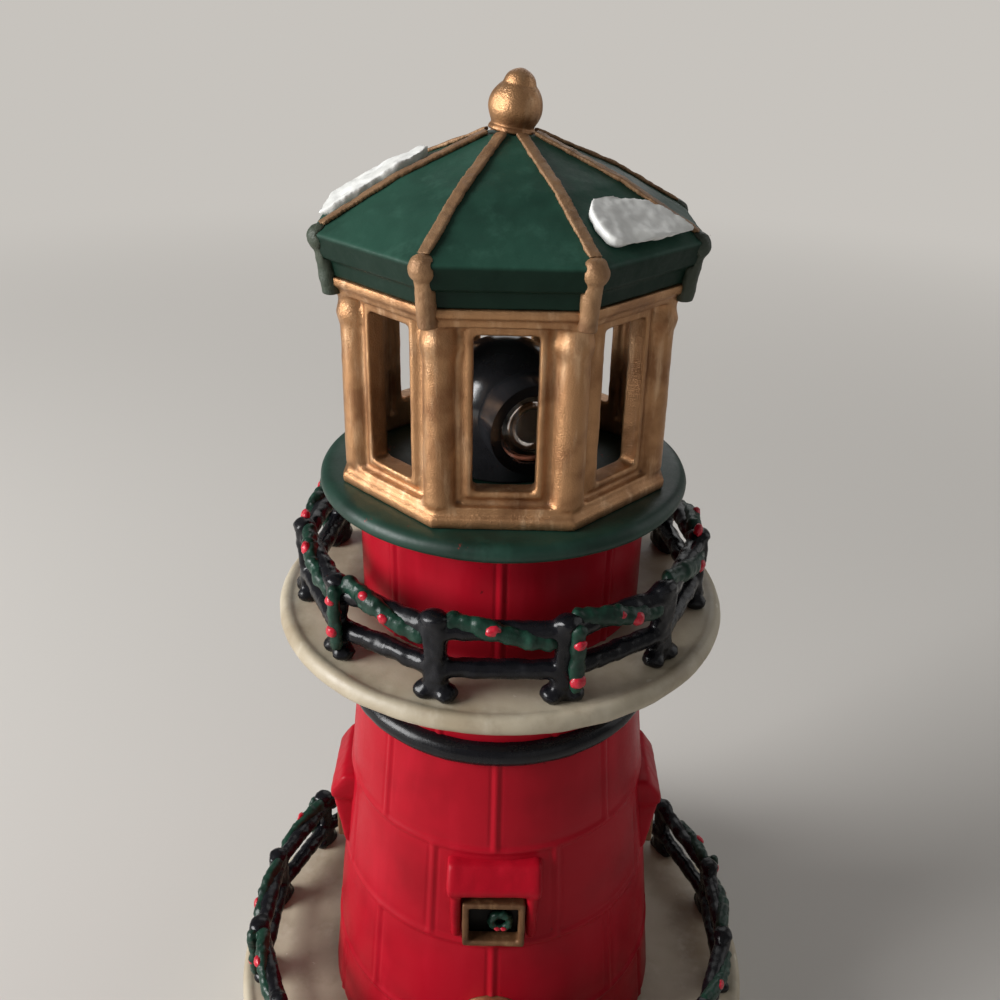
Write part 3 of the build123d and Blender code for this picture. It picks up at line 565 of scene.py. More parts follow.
def makePaint(name):
    look = {**coatLook, **paintLook[name]}
    look["breakUp"] = look["wearPerStroke"] * look["strokes"]
    look["grain"] = look["grainPerStroke"] * look["strokes"]
    material, tree, shader, place = newMaterial(name)
    # wear, painted highlight on the edges and painted shade in the hollows
    wornAndPaintedLight = layCoat(tree, shader, place, look)[0]
    if "stain" in look:
        noise = addNoise(tree, place, look["stainScale"], 6.0, 0.65)
        stained = addRange(tree, noise, *look["stainCut"], 0.0, look["stainShare"])
        wornAndPaintedLight = addMix(tree, stained, wornAndPaintedLight, look["stain"])
    if "eave" in look:  # painted shade: the fascia darker under the eaves' overhang
        above = addMath(tree, "SUBTRACT", addAxis(tree, place, "Z"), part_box("roof")[0].z)
        inEaveShade = addRange(tree, above, *look["eaveHeight"], 0.0, look["eaveShare"])
        wornAndPaintedLight = addMix(tree, inEaveShade, wornAndPaintedLight, look["eave"])
    if "chip" in look:  # small knocks and drips
        noise = addNoise(tree, place, look["chipScale"], 5.0, 0.7)
        cut = look["chipCut"]
        knocked = addRange(tree, noise, cut, cut + look["chipBlend"], 0.0, look["chipShare"])
        wornAndPaintedLight = addMix(tree, knocked, wornAndPaintedLight, look["chip"])
    feed(tree, shader, {"Base Color": wornAndPaintedLight, "Specular IOR Level": look["shine"]})
    return material


# ribs, brackets and window frames have thinner, browner coats
goldLook = {
    # hollow is painted shade; edge is a lighter tone for wear and painted highlight
    "goldPaint": {"main": (0.45, 0.242, 0.115), "deep": (0.21, 0.092, 0.040), "light": (0.72, 0.48, 0.29),
                  "hollow": (0.085, 0.028, 0.014), "edge": (0.76, 0.53, 0.33), "metal": (0.30, 0.82),
                  "gloss": (0.30, 0.50)},
    "brownGold": {"main": (0.28, 0.155, 0.075), "deep": (0.16, 0.080, 0.036), "light": (0.40, 0.25, 0.13),
                  "hollow": (0.05, 0.024, 0.012), "edge": (0.52, 0.35, 0.20), "metal": (0.08, 0.34),
                  "gloss": (0.40, 0.62)},
    "frameGold": {"main": (0.17, 0.080, 0.034), "deep": (0.08, 0.034, 0.014), "light": (0.36, 0.21, 0.10),
                  "hollow": (0.03, 0.012, 0.006), "edge": (0.60, 0.40, 0.22), "metal": (0.10, 0.45),
                  "gloss": (0.36, 0.56)},
    "bracketGold": {"main": (0.34, 0.190, 0.092), "deep": (0.17, 0.080, 0.036), "light": (0.56, 0.36, 0.20),
                    "hollow": (0.04, 0.020, 0.010), "edge": (0.62, 0.42, 0.25), "metal": (0.10, 0.45),
                    "gloss": (0.36, 0.58), "over": (0.010, 0.036, 0.024),
                    "overFrom": (-24.0 * mm, -14.0 * mm)},
}


# what the golds share
powderLook = {
    "patches": 130.0,
    "strokes": 420.0,
    "breakUp": 700.0,
    "grain": 3200.0,
    "hollowShare": 0.85,
    "edgeShare": 0.22,
    "overShare": 0.92,
    "raggedScale": 320.0,
    "ragged": 12 * mm,
    "grainHeight": 1.5,
    "bump": 0.32,
    "bumpDepth": 0.4 * mm,
}


def makeGold(name):  # metal powder in a brown base, bright on the edges from rubbing and a painted highlight, with painted shade in the hollows
    look = {**powderLook, **goldLook[name]}
    material, tree, shader, place = newMaterial(name)
    rubbedAndPaintedLight, hollow = layCoat(tree, shader, place, look)
    metal = addRange(tree, hollow, 1.0, 0.0, *look["metal"])
    if "over" in look:  # the roof's green went over all but the front ones
        ragged = addMath(tree, "MULTIPLY", addNoise(tree, place, look["raggedScale"]), look["ragged"])
        back = addMath(tree, "ADD", addAxis(tree, place, "Y"), ragged)
        over = addRange(tree, back, *look["overFrom"], 0.0, look["overShare"])
        rubbedAndPaintedLight = addMix(tree, over, rubbedAndPaintedLight, look["over"])
        metal = addMath(tree, "MULTIPLY", metal, addMath(tree, "SUBTRACT", 1.0, over))
    feed(tree, shader, {"Base Color": rubbedAndPaintedLight, "Metallic": metal})
    return material


# finishes of the moulded and metal parts: tone, darker tone, gloss range, metal, shine, grain
plainLook = {
    "darkPane": ((0.007, 0.006, 0.005), (0.004, 0.003, 0.003), (0.34, 0.50), 0.0, 0.1, 0.05),
    "beaconBlack": ((0.017, 0.017, 0.019), (0.009, 0.009, 0.010), (0.10, 0.22), 0.0, 0.5, 0.05),
    "chromeBowl": ((0.80, 0.75, 0.73), (0.58, 0.50, 0.47), (0.04, 0.12), 1.0, 0.5, 0.05),
    # copper tone: a painted reflection of the gold lantern in the beacon's rim
    "copperRing": ((0.50, 0.20, 0.13), (0.28, 0.09, 0.06), (0.14, 0.26), 1.0, 0.5, 0.05),
    "lampClear": ((0.85, 0.80, 0.66), (0.74, 0.68, 0.52), (0.06, 0.14), 0.0, 0.5, 0.05),
    "whiteNylon": ((0.78, 0.77, 0.73), (0.68, 0.67, 0.62), (0.36, 0.52), 0.0, 0.5, 0.05),
    "blackPlastic": ((0.024, 0.024, 0.025), (0.013, 0.013, 0.014), (0.42, 0.60), 0.0, 0.5, 0.05),
    "switchWhite": ((0.74, 0.74, 0.72), (0.62, 0.62, 0.59), (0.34, 0.48), 0.0, 0.5, 0.05),
    "steel": ((0.58, 0.58, 0.60), (0.42, 0.42, 0.44), (0.22, 0.38), 1.0, 0.5, 0.05),
    "brass": ((0.70, 0.53, 0.24), (0.52, 0.37, 0.15), (0.22, 0.36), 1.0, 0.5, 0.05),
    "cellWrap": ((0.055, 0.065, 0.075), (0.030, 0.036, 0.042), (0.18, 0.30), 0.0, 0.5, 0.05),
    "felt": ((0.040, 0.110, 0.065), (0.020, 0.060, 0.034), (0.85, 0.98), 0.0, 0.5, 0.5),
    "wireSleeve": ((0.32, 0.022, 0.022), (0.20, 0.012, 0.012), (0.34, 0.50), 0.0, 0.5, 0.05),
}


plainLift = 1.15  # the lightest strokes against the tone
plainDepth = 0.3 * mm


def makePlain(name):
    main, deep, gloss, metal, shine, bump = plainLook[name]
    material, tree, shader, place = newMaterial(name)
    light = tuple(min(1.0, plainLift * value) for value in main)
    paint = addGroup(tree, brushGroup, place, {
        "Main": main, "Deep": deep, "Light": light, "Patches": 150.0, "Strokes": 700.0,
    })
    grain = addGroup(tree, grainGroup, place, {"Grain": 2600.0, "Smooth": gloss[0], "Rough": gloss[1]})
    feed(tree, shader, {
        "Base Color": paint.outputs["Color"], "Roughness": grain.outputs["Roughness"],
        "Metallic": metal, "Specular IOR Level": shine,
    })
    addBump(tree, shader, grain.outputs["Height"], bump, plainDepth)
    return material


lensLook = {
    "tones": ((0.93, 0.95, 0.95), (0.98, 0.98, 0.97)),
    "toneBlend": (0.3, 0.7),
    "refraction": 1.49,
}


def makeLensGlass():
    material, tree, shader, place = newMaterial("clearLens")
    grain = addGroup(tree, grainGroup, place, {"Grain": 900.0, "Smooth": 0.0, "Rough": 0.03})
    share = addRange(tree, grain.outputs["Height"], *lensLook["toneBlend"])
    feed(tree, shader, {
        "Base Color": addMix(tree, share, *lensLook["tones"]), "Roughness": grain.outputs["Roughness"],
        "Transmission Weight": 1.0, "IOR": lensLook["refraction"],
    })
    return material


finish = {name: makePaint(name) for name in paintLook}
finish.update({name: makePlain(name) for name in plainLook})
finish.update({name: makeGold(name) for name in goldLook})
finish["clearLens"] = makeLensGlass()


def finishName(slotName):  # red_paint is redPaint here
    first, *rest = slotName.split("_")
    return first + "".join(word.capitalize() for word in rest)


slotOf = {part["node"]: part["material_slot"] for part in frame["record"]["subparts"]}
for nodeName, node in nodes.items():
    for slot in node.material_slots:
        slot.material = finish[finishName(slotOf[nodeName])]
print("finishes made:", len(finish))


# tower and drum: block courses with a bead along each joint

courseLook = {
    "blocks": 8,
    "courseHeight": 25.6 * mm,
    "beadRise": 0.62 * mm,
    "hollowDepth": 0.26 * mm,
    "hollowPlace": 1.05 * mm,  # from the joint's middle
    "beadEnd": 2.0 * mm,
    "columns": 144,
    "rowGap": 4.3 * mm,
    "wall": 4.0 * mm,
    "rimSlack": 0.6 * mm,
    "towerLumps": (0.16 * mm, 9 * mm),  # depth and size
    "drumLumps": (0.14 * mm, 8 * mm),
    "smoothUnder": 50,  # degrees between faces
}
jointSteps = [0.0] + [side * courseLook[key] for key in ("hollowPlace", "beadEnd") for side in (-1, 1)]


def blockWall(name, low, high, lowRadius, highRadius, joints, firstShift):
    look = courseLook
    clearAll()
    bpy.ops.mesh.primitive_cone_add(
        vertices=look["columns"], radius1=lowRadius, radius2=highRadius, depth=high - low,
        end_fill_type="NOTHING", location=(0, 0, (low + high) / 2),
    )
    wall = settle(bpy.context.object)
    rows = int((high - low) / look["rowGap"])
    levels = [low + (high - low) * i / rows for i in range(1, rows)]
    levels = [z for z in levels if all(abs(z - joint) > 2 * look["beadEnd"] for joint in joints)]
    levels += [joint + step for joint in joints for step in jointSteps]
    for level in levels:
        cutAt(wall, (0, 0, level), (0, 0, 1))
    halfPitch = fullTurn / look["blocks"] / 2
    for i in range(look["blocks"]):
        side = Vector((-math.sin(i * halfPitch), math.cos(i * halfPitch), 0))
        for step in jointSteps:
            cutAt(wall, side * step, side)

    def fromJoint(point):  # distance of a point from the nearest joint of its own course
        course = sum(1 for joint in joints if joint > point.z)
        nearest = min([abs(point.z - joint) for joint in joints] + [1.0])
        shift = halfPitch * ((course + firstShift) % 2)
        angle = math.atan2(point.y, point.x) - shift
        angle -= 2 * halfPitch * round(angle / (2 * halfPitch))
        return min(nearest, abs(math.hypot(point.x, point.y) * math.sin(angle)))

    for place, move in ((0.0, look["beadRise"]), (look["hollowPlace"], -look["hollowDepth"])):
        choose(wall, "VERT", lambda v: abs(fromJoint(v.co) - place) < hair)
        bpy.ops.transform.shrink_fatten(value=move)
        done()
    for level in (low, high):  # the beads lift the rims a little, so they are flattened again
        choose(wall, "VERT", lambda v: abs(v.co.z - level) < look["rimSlack"])
        bpy.ops.transform.resize(value=(1, 1, 0), center_override=(0, 0, level))
        done()
    useModifier(wall, "SUBSURF", levels=1, render_levels=1)

    def chooseRim(level):
        choose(wall, "VERT", lambda v: abs(v.co.z - level) < hair)

    chooseRim(high)  # the wall's thickness: in, down and closed below
    bpy.ops.mesh.extrude_region_move()
    share = (highRadius - look["wall"]) / highRadius
    bpy.ops.transform.resize(value=(share, share, 1), center_override=(0, 0, high))
    bpy.ops.mesh.extrude_region_move(TRANSFORM_OT_translate={"value": (0, 0, low - high)})
    share = (lowRadius - look["wall"]) / (highRadius - look["wall"])
    bpy.ops.transform.resize(value=(share, share, 1), center_override=(0, 0, low))
    done()
    chooseRim(low)
    bpy.ops.mesh.bridge_edge_loops()
    done()
    cleanUp(wall)
    wall.name = name
    return wall


def finishWall(wall, nodeName):
    lumps(wall, *courseLook[wall.name + "Lumps"])
    bpy.ops.object.shade_smooth_by_angle(angle=math.radians(courseLook["smoothUnder"]))
    handOver(wall, wall.name, "figurine", "red_paint", finish["redPaint"], nodeName)


quarterTurns = [i * fullTurn / 4 for i in range(4)]
frontFrame = Vector((7.0 * mm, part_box("window_frames")[0].y, 0))  # half width and face
windowLow, windowHigh = zLow("window_frames"), zHigh("window_frames")
windowGap = 0.15 * mm


def makeTower():
    low, high = zLow("tower_shell"), zHigh("tower_shell")
    ringLevel = (zLow("tower_ring") + zHigh("tower_ring")) / 2
    joints = []
    level = ringLevel
    while level > low + 3 * mm:
        joints.append(level)
        level -= courseLook["courseHeight"]
    tower = blockWall("tower", low, high, reach("tower_shell"), reach("watch_drum"), joints, 1)
    half = frontFrame.x + windowGap
    hole = makeBlock("hole", (-half, -1.2 * reach("tower_shell"), windowLow - windowGap),
                     (half, -0.5 * reach("tower_shell"), windowHigh + windowGap))
    for cutter in copiesRound(hole, quarterTurns):
        cutAway(tower, cutter)
    doorLow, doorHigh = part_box("door_frame")
    hole = makeBlock("doorHole", (doorLow.x - windowGap, doorLow.y - 5 * mm, doorLow.z - 2 * mm),
                     (doorHigh.x + windowGap, doorHigh.y + 3 * mm, doorHigh.z - doorHigh.x))
    clearAll()
    bpy.ops.mesh.primitive_cylinder_add(
        vertices=48, radius=doorHigh.x + windowGap, depth=16 * mm, rotation=(math.pi / 2, 0, 0),
        location=(0, (doorLow.y + doorHigh.y) / 2, doorHigh.z - doorHigh.x),
    )
    arch = settle(bpy.context.object)
    cutAway(tower, hole)
    cutAway(tower, arch)
    finishWall(tower, "tower_shell")
    low, high = zLow("watch_drum"), zHigh("watch_drum")
    drum = blockWall("drum", low, high, reach("watch_drum"), reach("watch_drum"), [], 0)
    finishWall(drum, "watch_drum")


makeTower()


# window hoods with their jambs, and the frames in them

hoodLook = {
    "halfWidth": 10.5 * mm,
    "height": 7.2 * mm,
    "slope": 5.2 * mm,
    "jambIn": 7.2 * mm,
    "jambOut": 9.7 * mm,
    "jambBack": 0.9 * mm,  # behind the hood's face
    "jambLean": 2.3 * mm,  # further back at the sill
    "depth": 8.5 * mm,
    "topBack": 3.6 * mm,  # the upper edge, behind the face
    "round": 1.7 * mm,
    "roundOver": 35,  # degrees between faces
    "skin": (0.42 * mm, 45, 0.3 * mm, 4 * mm),  # as castSkin takes them
}


def makeHoods():
    look = hoodLook
    high = zHigh("window_hoods")
    low = high - look["height"]
    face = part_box("window_hoods")[0].y
    wallBack = face + look["depth"]
    hood = makeBlock("hood", (-look["halfWidth"], face, low), (look["halfWidth"], wallBack, high))
    cutAt(hood, (0, 0, high - look["slope"]), (0, 0, 1))
    for side in (-1, 1):
        for place in (look["jambIn"], look["jambOut"]):
            cutAt(hood, (side * place, 0, 0), (1, 0, 0))
    choose(hood, "VERT", lambda v: v.co.y < face + touch and v.co.z > high - touch)
    bpy.ops.transform.translate(value=(0, look["topBack"], 0))
    done()
    choose(hood, "FACE", lambda f: f.normal.z < -0.9 and look["jambIn"] < abs(f.center.x) < look["jambOut"])
    bpy.ops.mesh.extrude_region_move(TRANSFORM_OT_translate={"value": (0, 0, windowLow - low)})
    done()
    choose(hood, "FACE", lambda f: f.normal.y < -0.9 and f.center.z < low - 1 * mm)
    bpy.ops.transform.translate(value=(0, look["jambBack"], 0))
    done()
    choose(hood, "VERT", lambda v: v.co.y < 0.5 * (face + wallBack) and v.co.z < windowLow + touch)
    bpy.ops.transform.translate(value=(0, look["jambLean"], 0))
    done()
    cleanUp(hood)
    useModifier(hood, "BEVEL", width=look["round"], segments=3, limit_method="ANGLE",
                angle_limit=math.radians(look["roundOver"]))
    hoods = joinUp(copiesRound(hood, quarterTurns), "hoods")
    castSkin(hoods, *look["skin"])
    handOver(hoods, "hoods", "figurine", "red_paint", finish["redPaint"], "window_hoods")


frameLook = {
    "bar": 1.45 * mm,
    "round": 0.4 * mm,
    "depth": 3.4 * mm,  # back to the pane
    "skin": (0.28 * mm, 3, 0.22 * mm, 2 * mm),
}


def makeWindowFrames():
    look = frameLook
    half, face = frontFrame.x, frontFrame.y
    bar = makeBlock("frame", (-half, face, windowLow), (half, face + look["depth"], windowHigh))
    choose(bar, "FACE", lambda f: abs(f.normal.y) > 0.9)
    bpy.ops.mesh.inset(thickness=look["bar"], use_individual=True)
    bpy.ops.mesh.bridge_edge_loops()
    done()
    cleanUp(bar)
    useModifier(bar, "BEVEL", width=look["round"], segments=3, limit_method="ANGLE")
    frames = joinUp(copiesRound(bar, quarterTurns), "frames")
    castSkin(frames, *look["skin"])
    handOver(frames, "windowFrames", "figurine", "gold_paint", finish["frameGold"], "window_frames")


wreathLook = {
    "place": (1.6 * mm, 5.2 * mm),  # right of the middle, up from the sill
    "forward": 0.9 * mm,  # of the pane
    "ring": (2.0 * mm, 0.85 * mm),
    "lumps": (1.1 * mm, 1.2 * mm),
    "bow": (0.8 * mm, 0.5 * mm, 0.55 * mm),  # half sizes of a loop
    "bowPlace": (0.7 * mm, -0.7 * mm, -1.7 * mm),  # a loop's, from the wreath's middle
    "bowSkin": (0.2 * mm, 3, 0.2 * mm, 1 * mm),
}


def makeWreaths():
    look = wreathLook
    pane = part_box("window_panes")[0].y
    across, rise = look["place"]
    centre = Vector((across, pane - look["forward"], windowLow + rise))
    clearAll()
    bpy.ops.mesh.primitive_torus_add(
        major_radius=look["ring"][0], minor_radius=look["ring"][1], major_segments=40, minor_segments=14,
        location=centre, rotation=(math.pi / 2, 0, 0),
    )
    wreaths = joinUp(copiesRound(settle(bpy.context.object), quarterTurns), "wreaths")
    lumps(wreaths, *look["lumps"])
    bpy.ops.object.shade_smooth()
    handOver(wreaths, "wreaths", "figurine", "garland_green", finish["garlandGreen"])
    side, out, rise = look["bowPlace"]
    loops = [makeClump(centre + Vector((x, out, rise)), look["bow"]) for x in (-side, side)]
    bows = joinUp(copiesRound(joinUp(loops, "bow"), quarterTurns), "bows")
    castSkin(bows, *look["bowSkin"])
    handOver(bows, "bows", "figurine", "red_paint", finish["berryRed"])


makeHoods()
makeWindowFrames()
makeWreaths()


# decks, ring and disc

deckLook = {
    "lipWidth": 3.2 * mm,
    "lipRise": 0.35 * mm,
    "sides": 128,
    "lumps": (0.34 * mm, 7 * mm),
}


def roundOff(piece, bore, lumpLook):  # softened all over but for the bore's edges
    def onBore(edge):
        points = [piece.data.vertices[i].co for i in edge.vertices]
        return all(abs(math.hypot(*point.xy) - bore) < touch for point in points)

    choose(piece, "EDGE", onBore)
    bpy.ops.transform.edge_crease(value=1.0)
    done()
    useModifier(piece, "SUBSURF", levels=2, render_levels=2)
    lumps(piece, *lumpLook)
    bpy.ops.object.shade_smooth()


def makeDeck(name, nodeName, bore):
    look = deckLook
    low, high = zLow(nodeName), zHigh(nodeName)
    outer = reach(nodeName) - 0.15 * mm
    thick = high - low
    lipIn = outer - look["lipWidth"]
    outline = [
        (bore, low), (0.5 * (bore + outer), low), (outer - 2.2 * mm, low),
        (outer - 0.7 * mm, low + 0.14 * thick), (outer, low + 0.42 * thick),
        (outer - 0.1 * mm, low + 0.68 * thick), (outer - 0.7 * mm, high - 0.25 * mm),
        (outer - 1.5 * mm, high + look["lipRise"]), (lipIn + 0.6 * mm, high + 0.7 * look["lipRise"]),
        (lipIn, high - 0.05 * mm), (lipIn - 1.2 * mm, high - 0.1 * mm),
        (0.6 * lipIn + 0.4 * bore, high), (bore + 3 * mm, high), (bore, high),
    ]
    deck = lathe(name, outline, look["sides"], closed=True)
    roundOff(deck, bore, look["lumps"])
    handOver(deck, name, "figurine", "cream_paint", finish["creamPaint"], nodeName)


ringLook = {
    "segments": (160, 24),
    "lumps": (0.3 * mm, 5 * mm),
}


def makeRing():
    around, across = ringLook["segments"]
    minor = (zHigh("tower_ring") - zLow("tower_ring")) / 2
    clearAll()
    bpy.ops.mesh.primitive_torus_add(
        major_radius=reach("tower_ring") - minor, minor_radius=minor,
        major_segments=around, minor_segments=across, location=(0, 0, zLow("tower_ring") + minor),
    )
    ring = settle(bpy.context.object)
    lumps(ring, *ringLook["lumps"])
    bpy.ops.object.shade_smooth()
    handOver(ring, "towerRing", "figurine", "black_paint", finish["blackPaint"], "tower_ring")


discLook = {
    "bore": 6.4 * mm,
    "round": 1.6 * mm,
    "sides": 128,
    "lumps": (0.2 * mm, 9 * mm),
}


def makeDisc():
    low, high = zLow("gallery_disc"), zHigh("gallery_disc")
    outer = reach("gallery_disc") - 0.1 * mm
    bend = discLook["round"]
    outline = [
        (discLook["bore"], low), (outer - 3 * bend, low), (outer - 0.6 * bend, low + 0.25 * bend),
        (outer, low + bend), (outer - 0.1 * bend, high - bend), (outer - 0.7 * bend, high - 0.25 * bend),
        (outer - 2 * bend, high), (0.6 * outer, high), (discLook["bore"], high),
    ]
    disc = lathe("disc", outline, discLook["sides"], closed=True)
    roundOff(disc, discLook["bore"], discLook["lumps"])
    handOver(disc, "disc", "figurine", "disc_green", finish["discGreen"], "gallery_disc")


makeDeck("galleryDeck", "gallery_deck", 27.0 * mm)
makeDeck("terraceDeck", "terrace_deck", 36.0 * mm)
makeRing()
makeDisc()


# lantern room, roof and what sits on it

lanternSkin = (0.5 * mm, 5, 0.2 * mm, 3 * mm)


def makeLantern():
    names = ["lantern_base", "lantern_columns", "lantern_panels", "lantern_cornice"]
    lantern = joinUp([cadCopy(name) for name in names], "lantern")
    castSkin(lantern, *lanternSkin)
    handOver(lantern, "lantern", "figurine", "gold_paint", finish["goldPaint"], *names)


# voxel size, smoothing rounds, lump depth and lump size for each copied casting
castLook = {
    "roof": (0.45 * mm, 2, 0.3 * mm, 6 * mm),
    "roof_ribs": (0.3 * mm, 3, 0.4 * mm, 2.5 * mm),
    "roof_brackets": (0.3 * mm, 4, 0.45 * mm, 2.2 * mm),
    "roof_snow": (0.34 * mm, 10, 1.6 * mm, 6 * mm),
    "front_door": (0.35 * mm, 2, 0.15 * mm, 3 * mm),
    "door_frame": (0.3 * mm, 3, 0.2 * mm, 3 * mm),
}
bracketIn = 0.993  # share of the distance from the axis
# coats other than the slot's own
coats = {"roof_ribs": "brownGold", "roof_brackets": "bracketGold", "front_door": "discGreen"}


def makeCasting(nodeName):
    casting = cadCopy(nodeName)
    castSkin(casting, *castLook[nodeName])
    if nodeName == "roof_brackets":
        editAll(casting)
        bpy.ops.transform.resize(value=(bracketIn, bracketIn, 1), center_override=(0, 0, 0))
        done()
    slotName = slotOf[nodeName]
    coat = coats.get(nodeName, finishName(slotName))
    handOver(casting, finishName(nodeName) + "Casting", "figurine", slotName, finish[coat], nodeName)


finialLook = {
    "lean": 9.0,  # degrees to the right
    "sides": 48,
    "lumps": (0.3 * mm, 4 * mm),
    # radius in mm and share of the height
    "outline": [(4.4, 0.0), (4.6, 0.04), (4.4, 0.09), (4.0, 0.11), (4.4, 0.18), (5.1, 0.30), (5.2, 0.42),
                (4.85, 0.55), (4.1, 0.66), (3.4, 0.73), (3.1, 0.75), (3.0, 0.80), (2.5, 0.89), (1.5, 0.955),
                (0.3, 0.985)],
}


def makeFinial():
    low, high = zLow("finial"), zHigh("finial") - touch
    outline = [(radius * mm, low + share * (high - low)) for radius, share in finialLook["outline"]]
    finial = lathe("finial", outline, finialLook["sides"])
    useModifier(finial, "SUBSURF", levels=2, render_levels=2)
    lumps(finial, *finialLook["lumps"])
    finial.location = (0, 0, -low)
    settle(finial)
    finial.rotation_euler.y = math.radians(finialLook["lean"])
    settle(finial)
    finial.location = (0, 0, low)
    settle(finial)
    bpy.ops.object.shade_smooth()
    handOver(finial, "finialCasting", "figurine", "gold_paint", finish["goldPaint"], "finial")


beaconLook = {
    "aim": 21.0,  # degrees to the right
    "flat": 0.4,  # thickness of a ring against its width
    # middle radius, half width, and reach along the beam from the tower's axis
    "rimRing": (6.9 * mm, 1.25 * mm, 14.1 * mm),
    "lensRing": (4.0 * mm, 0.9 * mm, 14.3 * mm),
}


def makeBeaconRing(key, coat):  # the rim in the bowl's mouth, its copper tone a painted reflection of the gold lantern, and a ring on the back of the lens
    radius, width, along = beaconLook[key]
    clearAll()
    bpy.ops.mesh.primitive_torus_add(
        major_radius=radius, minor_radius=width, major_segments=72, minor_segments=16
    )
    ring = bpy.context.object
    ring.scale.z = beaconLook["flat"]
    settle(ring)
    aim = frontAngle(beaconLook["aim"])
    beam = Vector((math.cos(aim), math.sin(aim), 0))
    low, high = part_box("beacon_lens")
    ring.rotation_euler = beam.to_track_quat("Z", "Y").to_euler()
    ring.location = beam * along
    ring.location.z = (low.z + high.z) / 2
    settle(ring)
    bpy.ops.object.shade_smooth()
    handOver(ring, key, "beacon", "chrome_bowl", finish[coat])


makeLantern()
for nodeName in castLook:
    makeCasting(nodeName)
makeFinial()
makeBeaconRing("rimRing", "copperRing")
makeBeaconRing("lensRing", "chromeBowl")


# fences: one post and one pair of rails, then all the way round

fenceLook = {
    "post": (3.8 * mm, 4.6 * mm),  # depth and width
    "postHeight": 17.6 * mm,
    "cuts": (0.2, 0.5, 0.8),
    "waist": 0.88,
    "round": 0.8 * mm,
    "lobe": (2.5 * mm, 2.3 * mm, 1.9 * mm),  # half sizes of each half of the foot
    "lobePlace": (0.5 * mm, 2.2 * mm),
    "knob": (2.5 * mm, 3.0 * mm, 1.7 * mm),
    "knobRise": 0.3 * mm,
    "lean": (0.05, 0.03, 0.12),  # at most, in radians about each axis
    "sizes": ((0.95, 1.06), (0.93, 1.08), (0.95, 1.0)),
    "rail": 2.05 * mm,
    "railLevels": (6.4 * mm, 15.2 * mm),
    "seed": 7,
    "skin": (0.5 * mm, 4, 0.8 * mm, 3.2 * mm),
}
fences = {
    "gallery": {"radius": 43.0 * mm, "count": 11, "deck": "gallery_deck"},
    "terrace": {"radius": 61.5 * mm, "count": 16, "deck": "terrace_deck"},
}


def makePost():
    depth, width = (value / 2 for value in fenceLook["post"])
    height = fenceLook["postHeight"]
    post = makeBlock("post", (-depth, -width, 0), (depth, width, height))
    for share in fenceLook["cuts"]:
        cutAt(post, (0, 0, share * height), (0, 0, 1))
    choose(post, "VERT", lambda v: abs(v.co.z - 0.5 * height) < touch)
    bpy.ops.transform.resize(value=(fenceLook["waist"], fenceLook["waist"], 1))
    done()
    useModifier(post, "BEVEL", width=fenceLook["round"], segments=2, limit_method="ANGLE")
    knob = makeClump((0, 0, height + fenceLook["knobRise"]), fenceLook["knob"])
    lobe = fenceLook["lobe"]
    out, side = fenceLook["lobePlace"]
    feet = [makeClump((out, y, 0.75 * lobe[2]), lobe) for y in (-side, side)]
    return joinUp([post, knob] + feet, "post")


def makeRail(radius, count, level):
    span = 2 * radius * math.sin(math.pi / count)
    clearAll()
    bpy.ops.mesh.primitive_cylinder_add(
        vertices=24, radius=fenceLook["rail"], depth=span, rotation=(math.pi / 2, 0, 0),
        location=(radius * math.cos(math.pi / count), 0, level),
    )
    return turned(settle(bpy.context.object), math.pi / count)


def makeFence(name):
    look = fences[name]
    rng = random.Random(fenceLook["seed"] + look["count"])
    deckTop = zHigh(look["deck"])
    start = frontAngle(0) + math.pi / look["count"]
    angles = [start + i * fullTurn / look["count"] for i in range(look["count"])]
    pieces = []
    post = makePost()
    for angle in angles:  # no two posts quite alike
        copy = copyPiece(post)
        copy.rotation_euler = [rng.uniform(-most, most) for most in fenceLook["lean"]]
        copy.scale = [rng.uniform(*sizes) for sizes in fenceLook["sizes"]]
        copy.location = (look["radius"], 0, deckTop - touch)
        pieces.append(turned(settle(copy), angle))
    bpy.data.objects.remove(post)
    for level in fenceLook["railLevels"]:
        rail = makeRail(look["radius"], look["count"], deckTop + level)
        pieces += copiesRound(rail, angles)
    fence = joinUp(pieces, name + "Fence")
    castSkin(fence, *fenceLook["skin"])
    handOver(fence, name + "Fence", "figurine", "black_paint", finish["blackPaint"], name + "_fence")


garlandLook = {
    "clump": 2.15 * mm,
    "clumps": 15,
    "wind": 1.9 * mm,  # from the rail's middle
    "turn": (95, -60),  # degrees round the rail, first to last
    "endGap": 3.2 * mm,  # from a post's middle
    "drop": 12.0 * mm,
    "dropClumps": 9,
    "dropUnder": 1.5 * mm,  # the post's top
    "dropOut": 2.3 * mm,
    "dropSide": 2.0 * mm,
    "skin": (0.42 * mm, 5, 1.0 * mm, 2.4 * mm),
    "berry": 1.55 * mm,
    "berrySkin": (0.26 * mm, 3, 0.6 * mm, 1.6 * mm),
    "seed": 31,
}


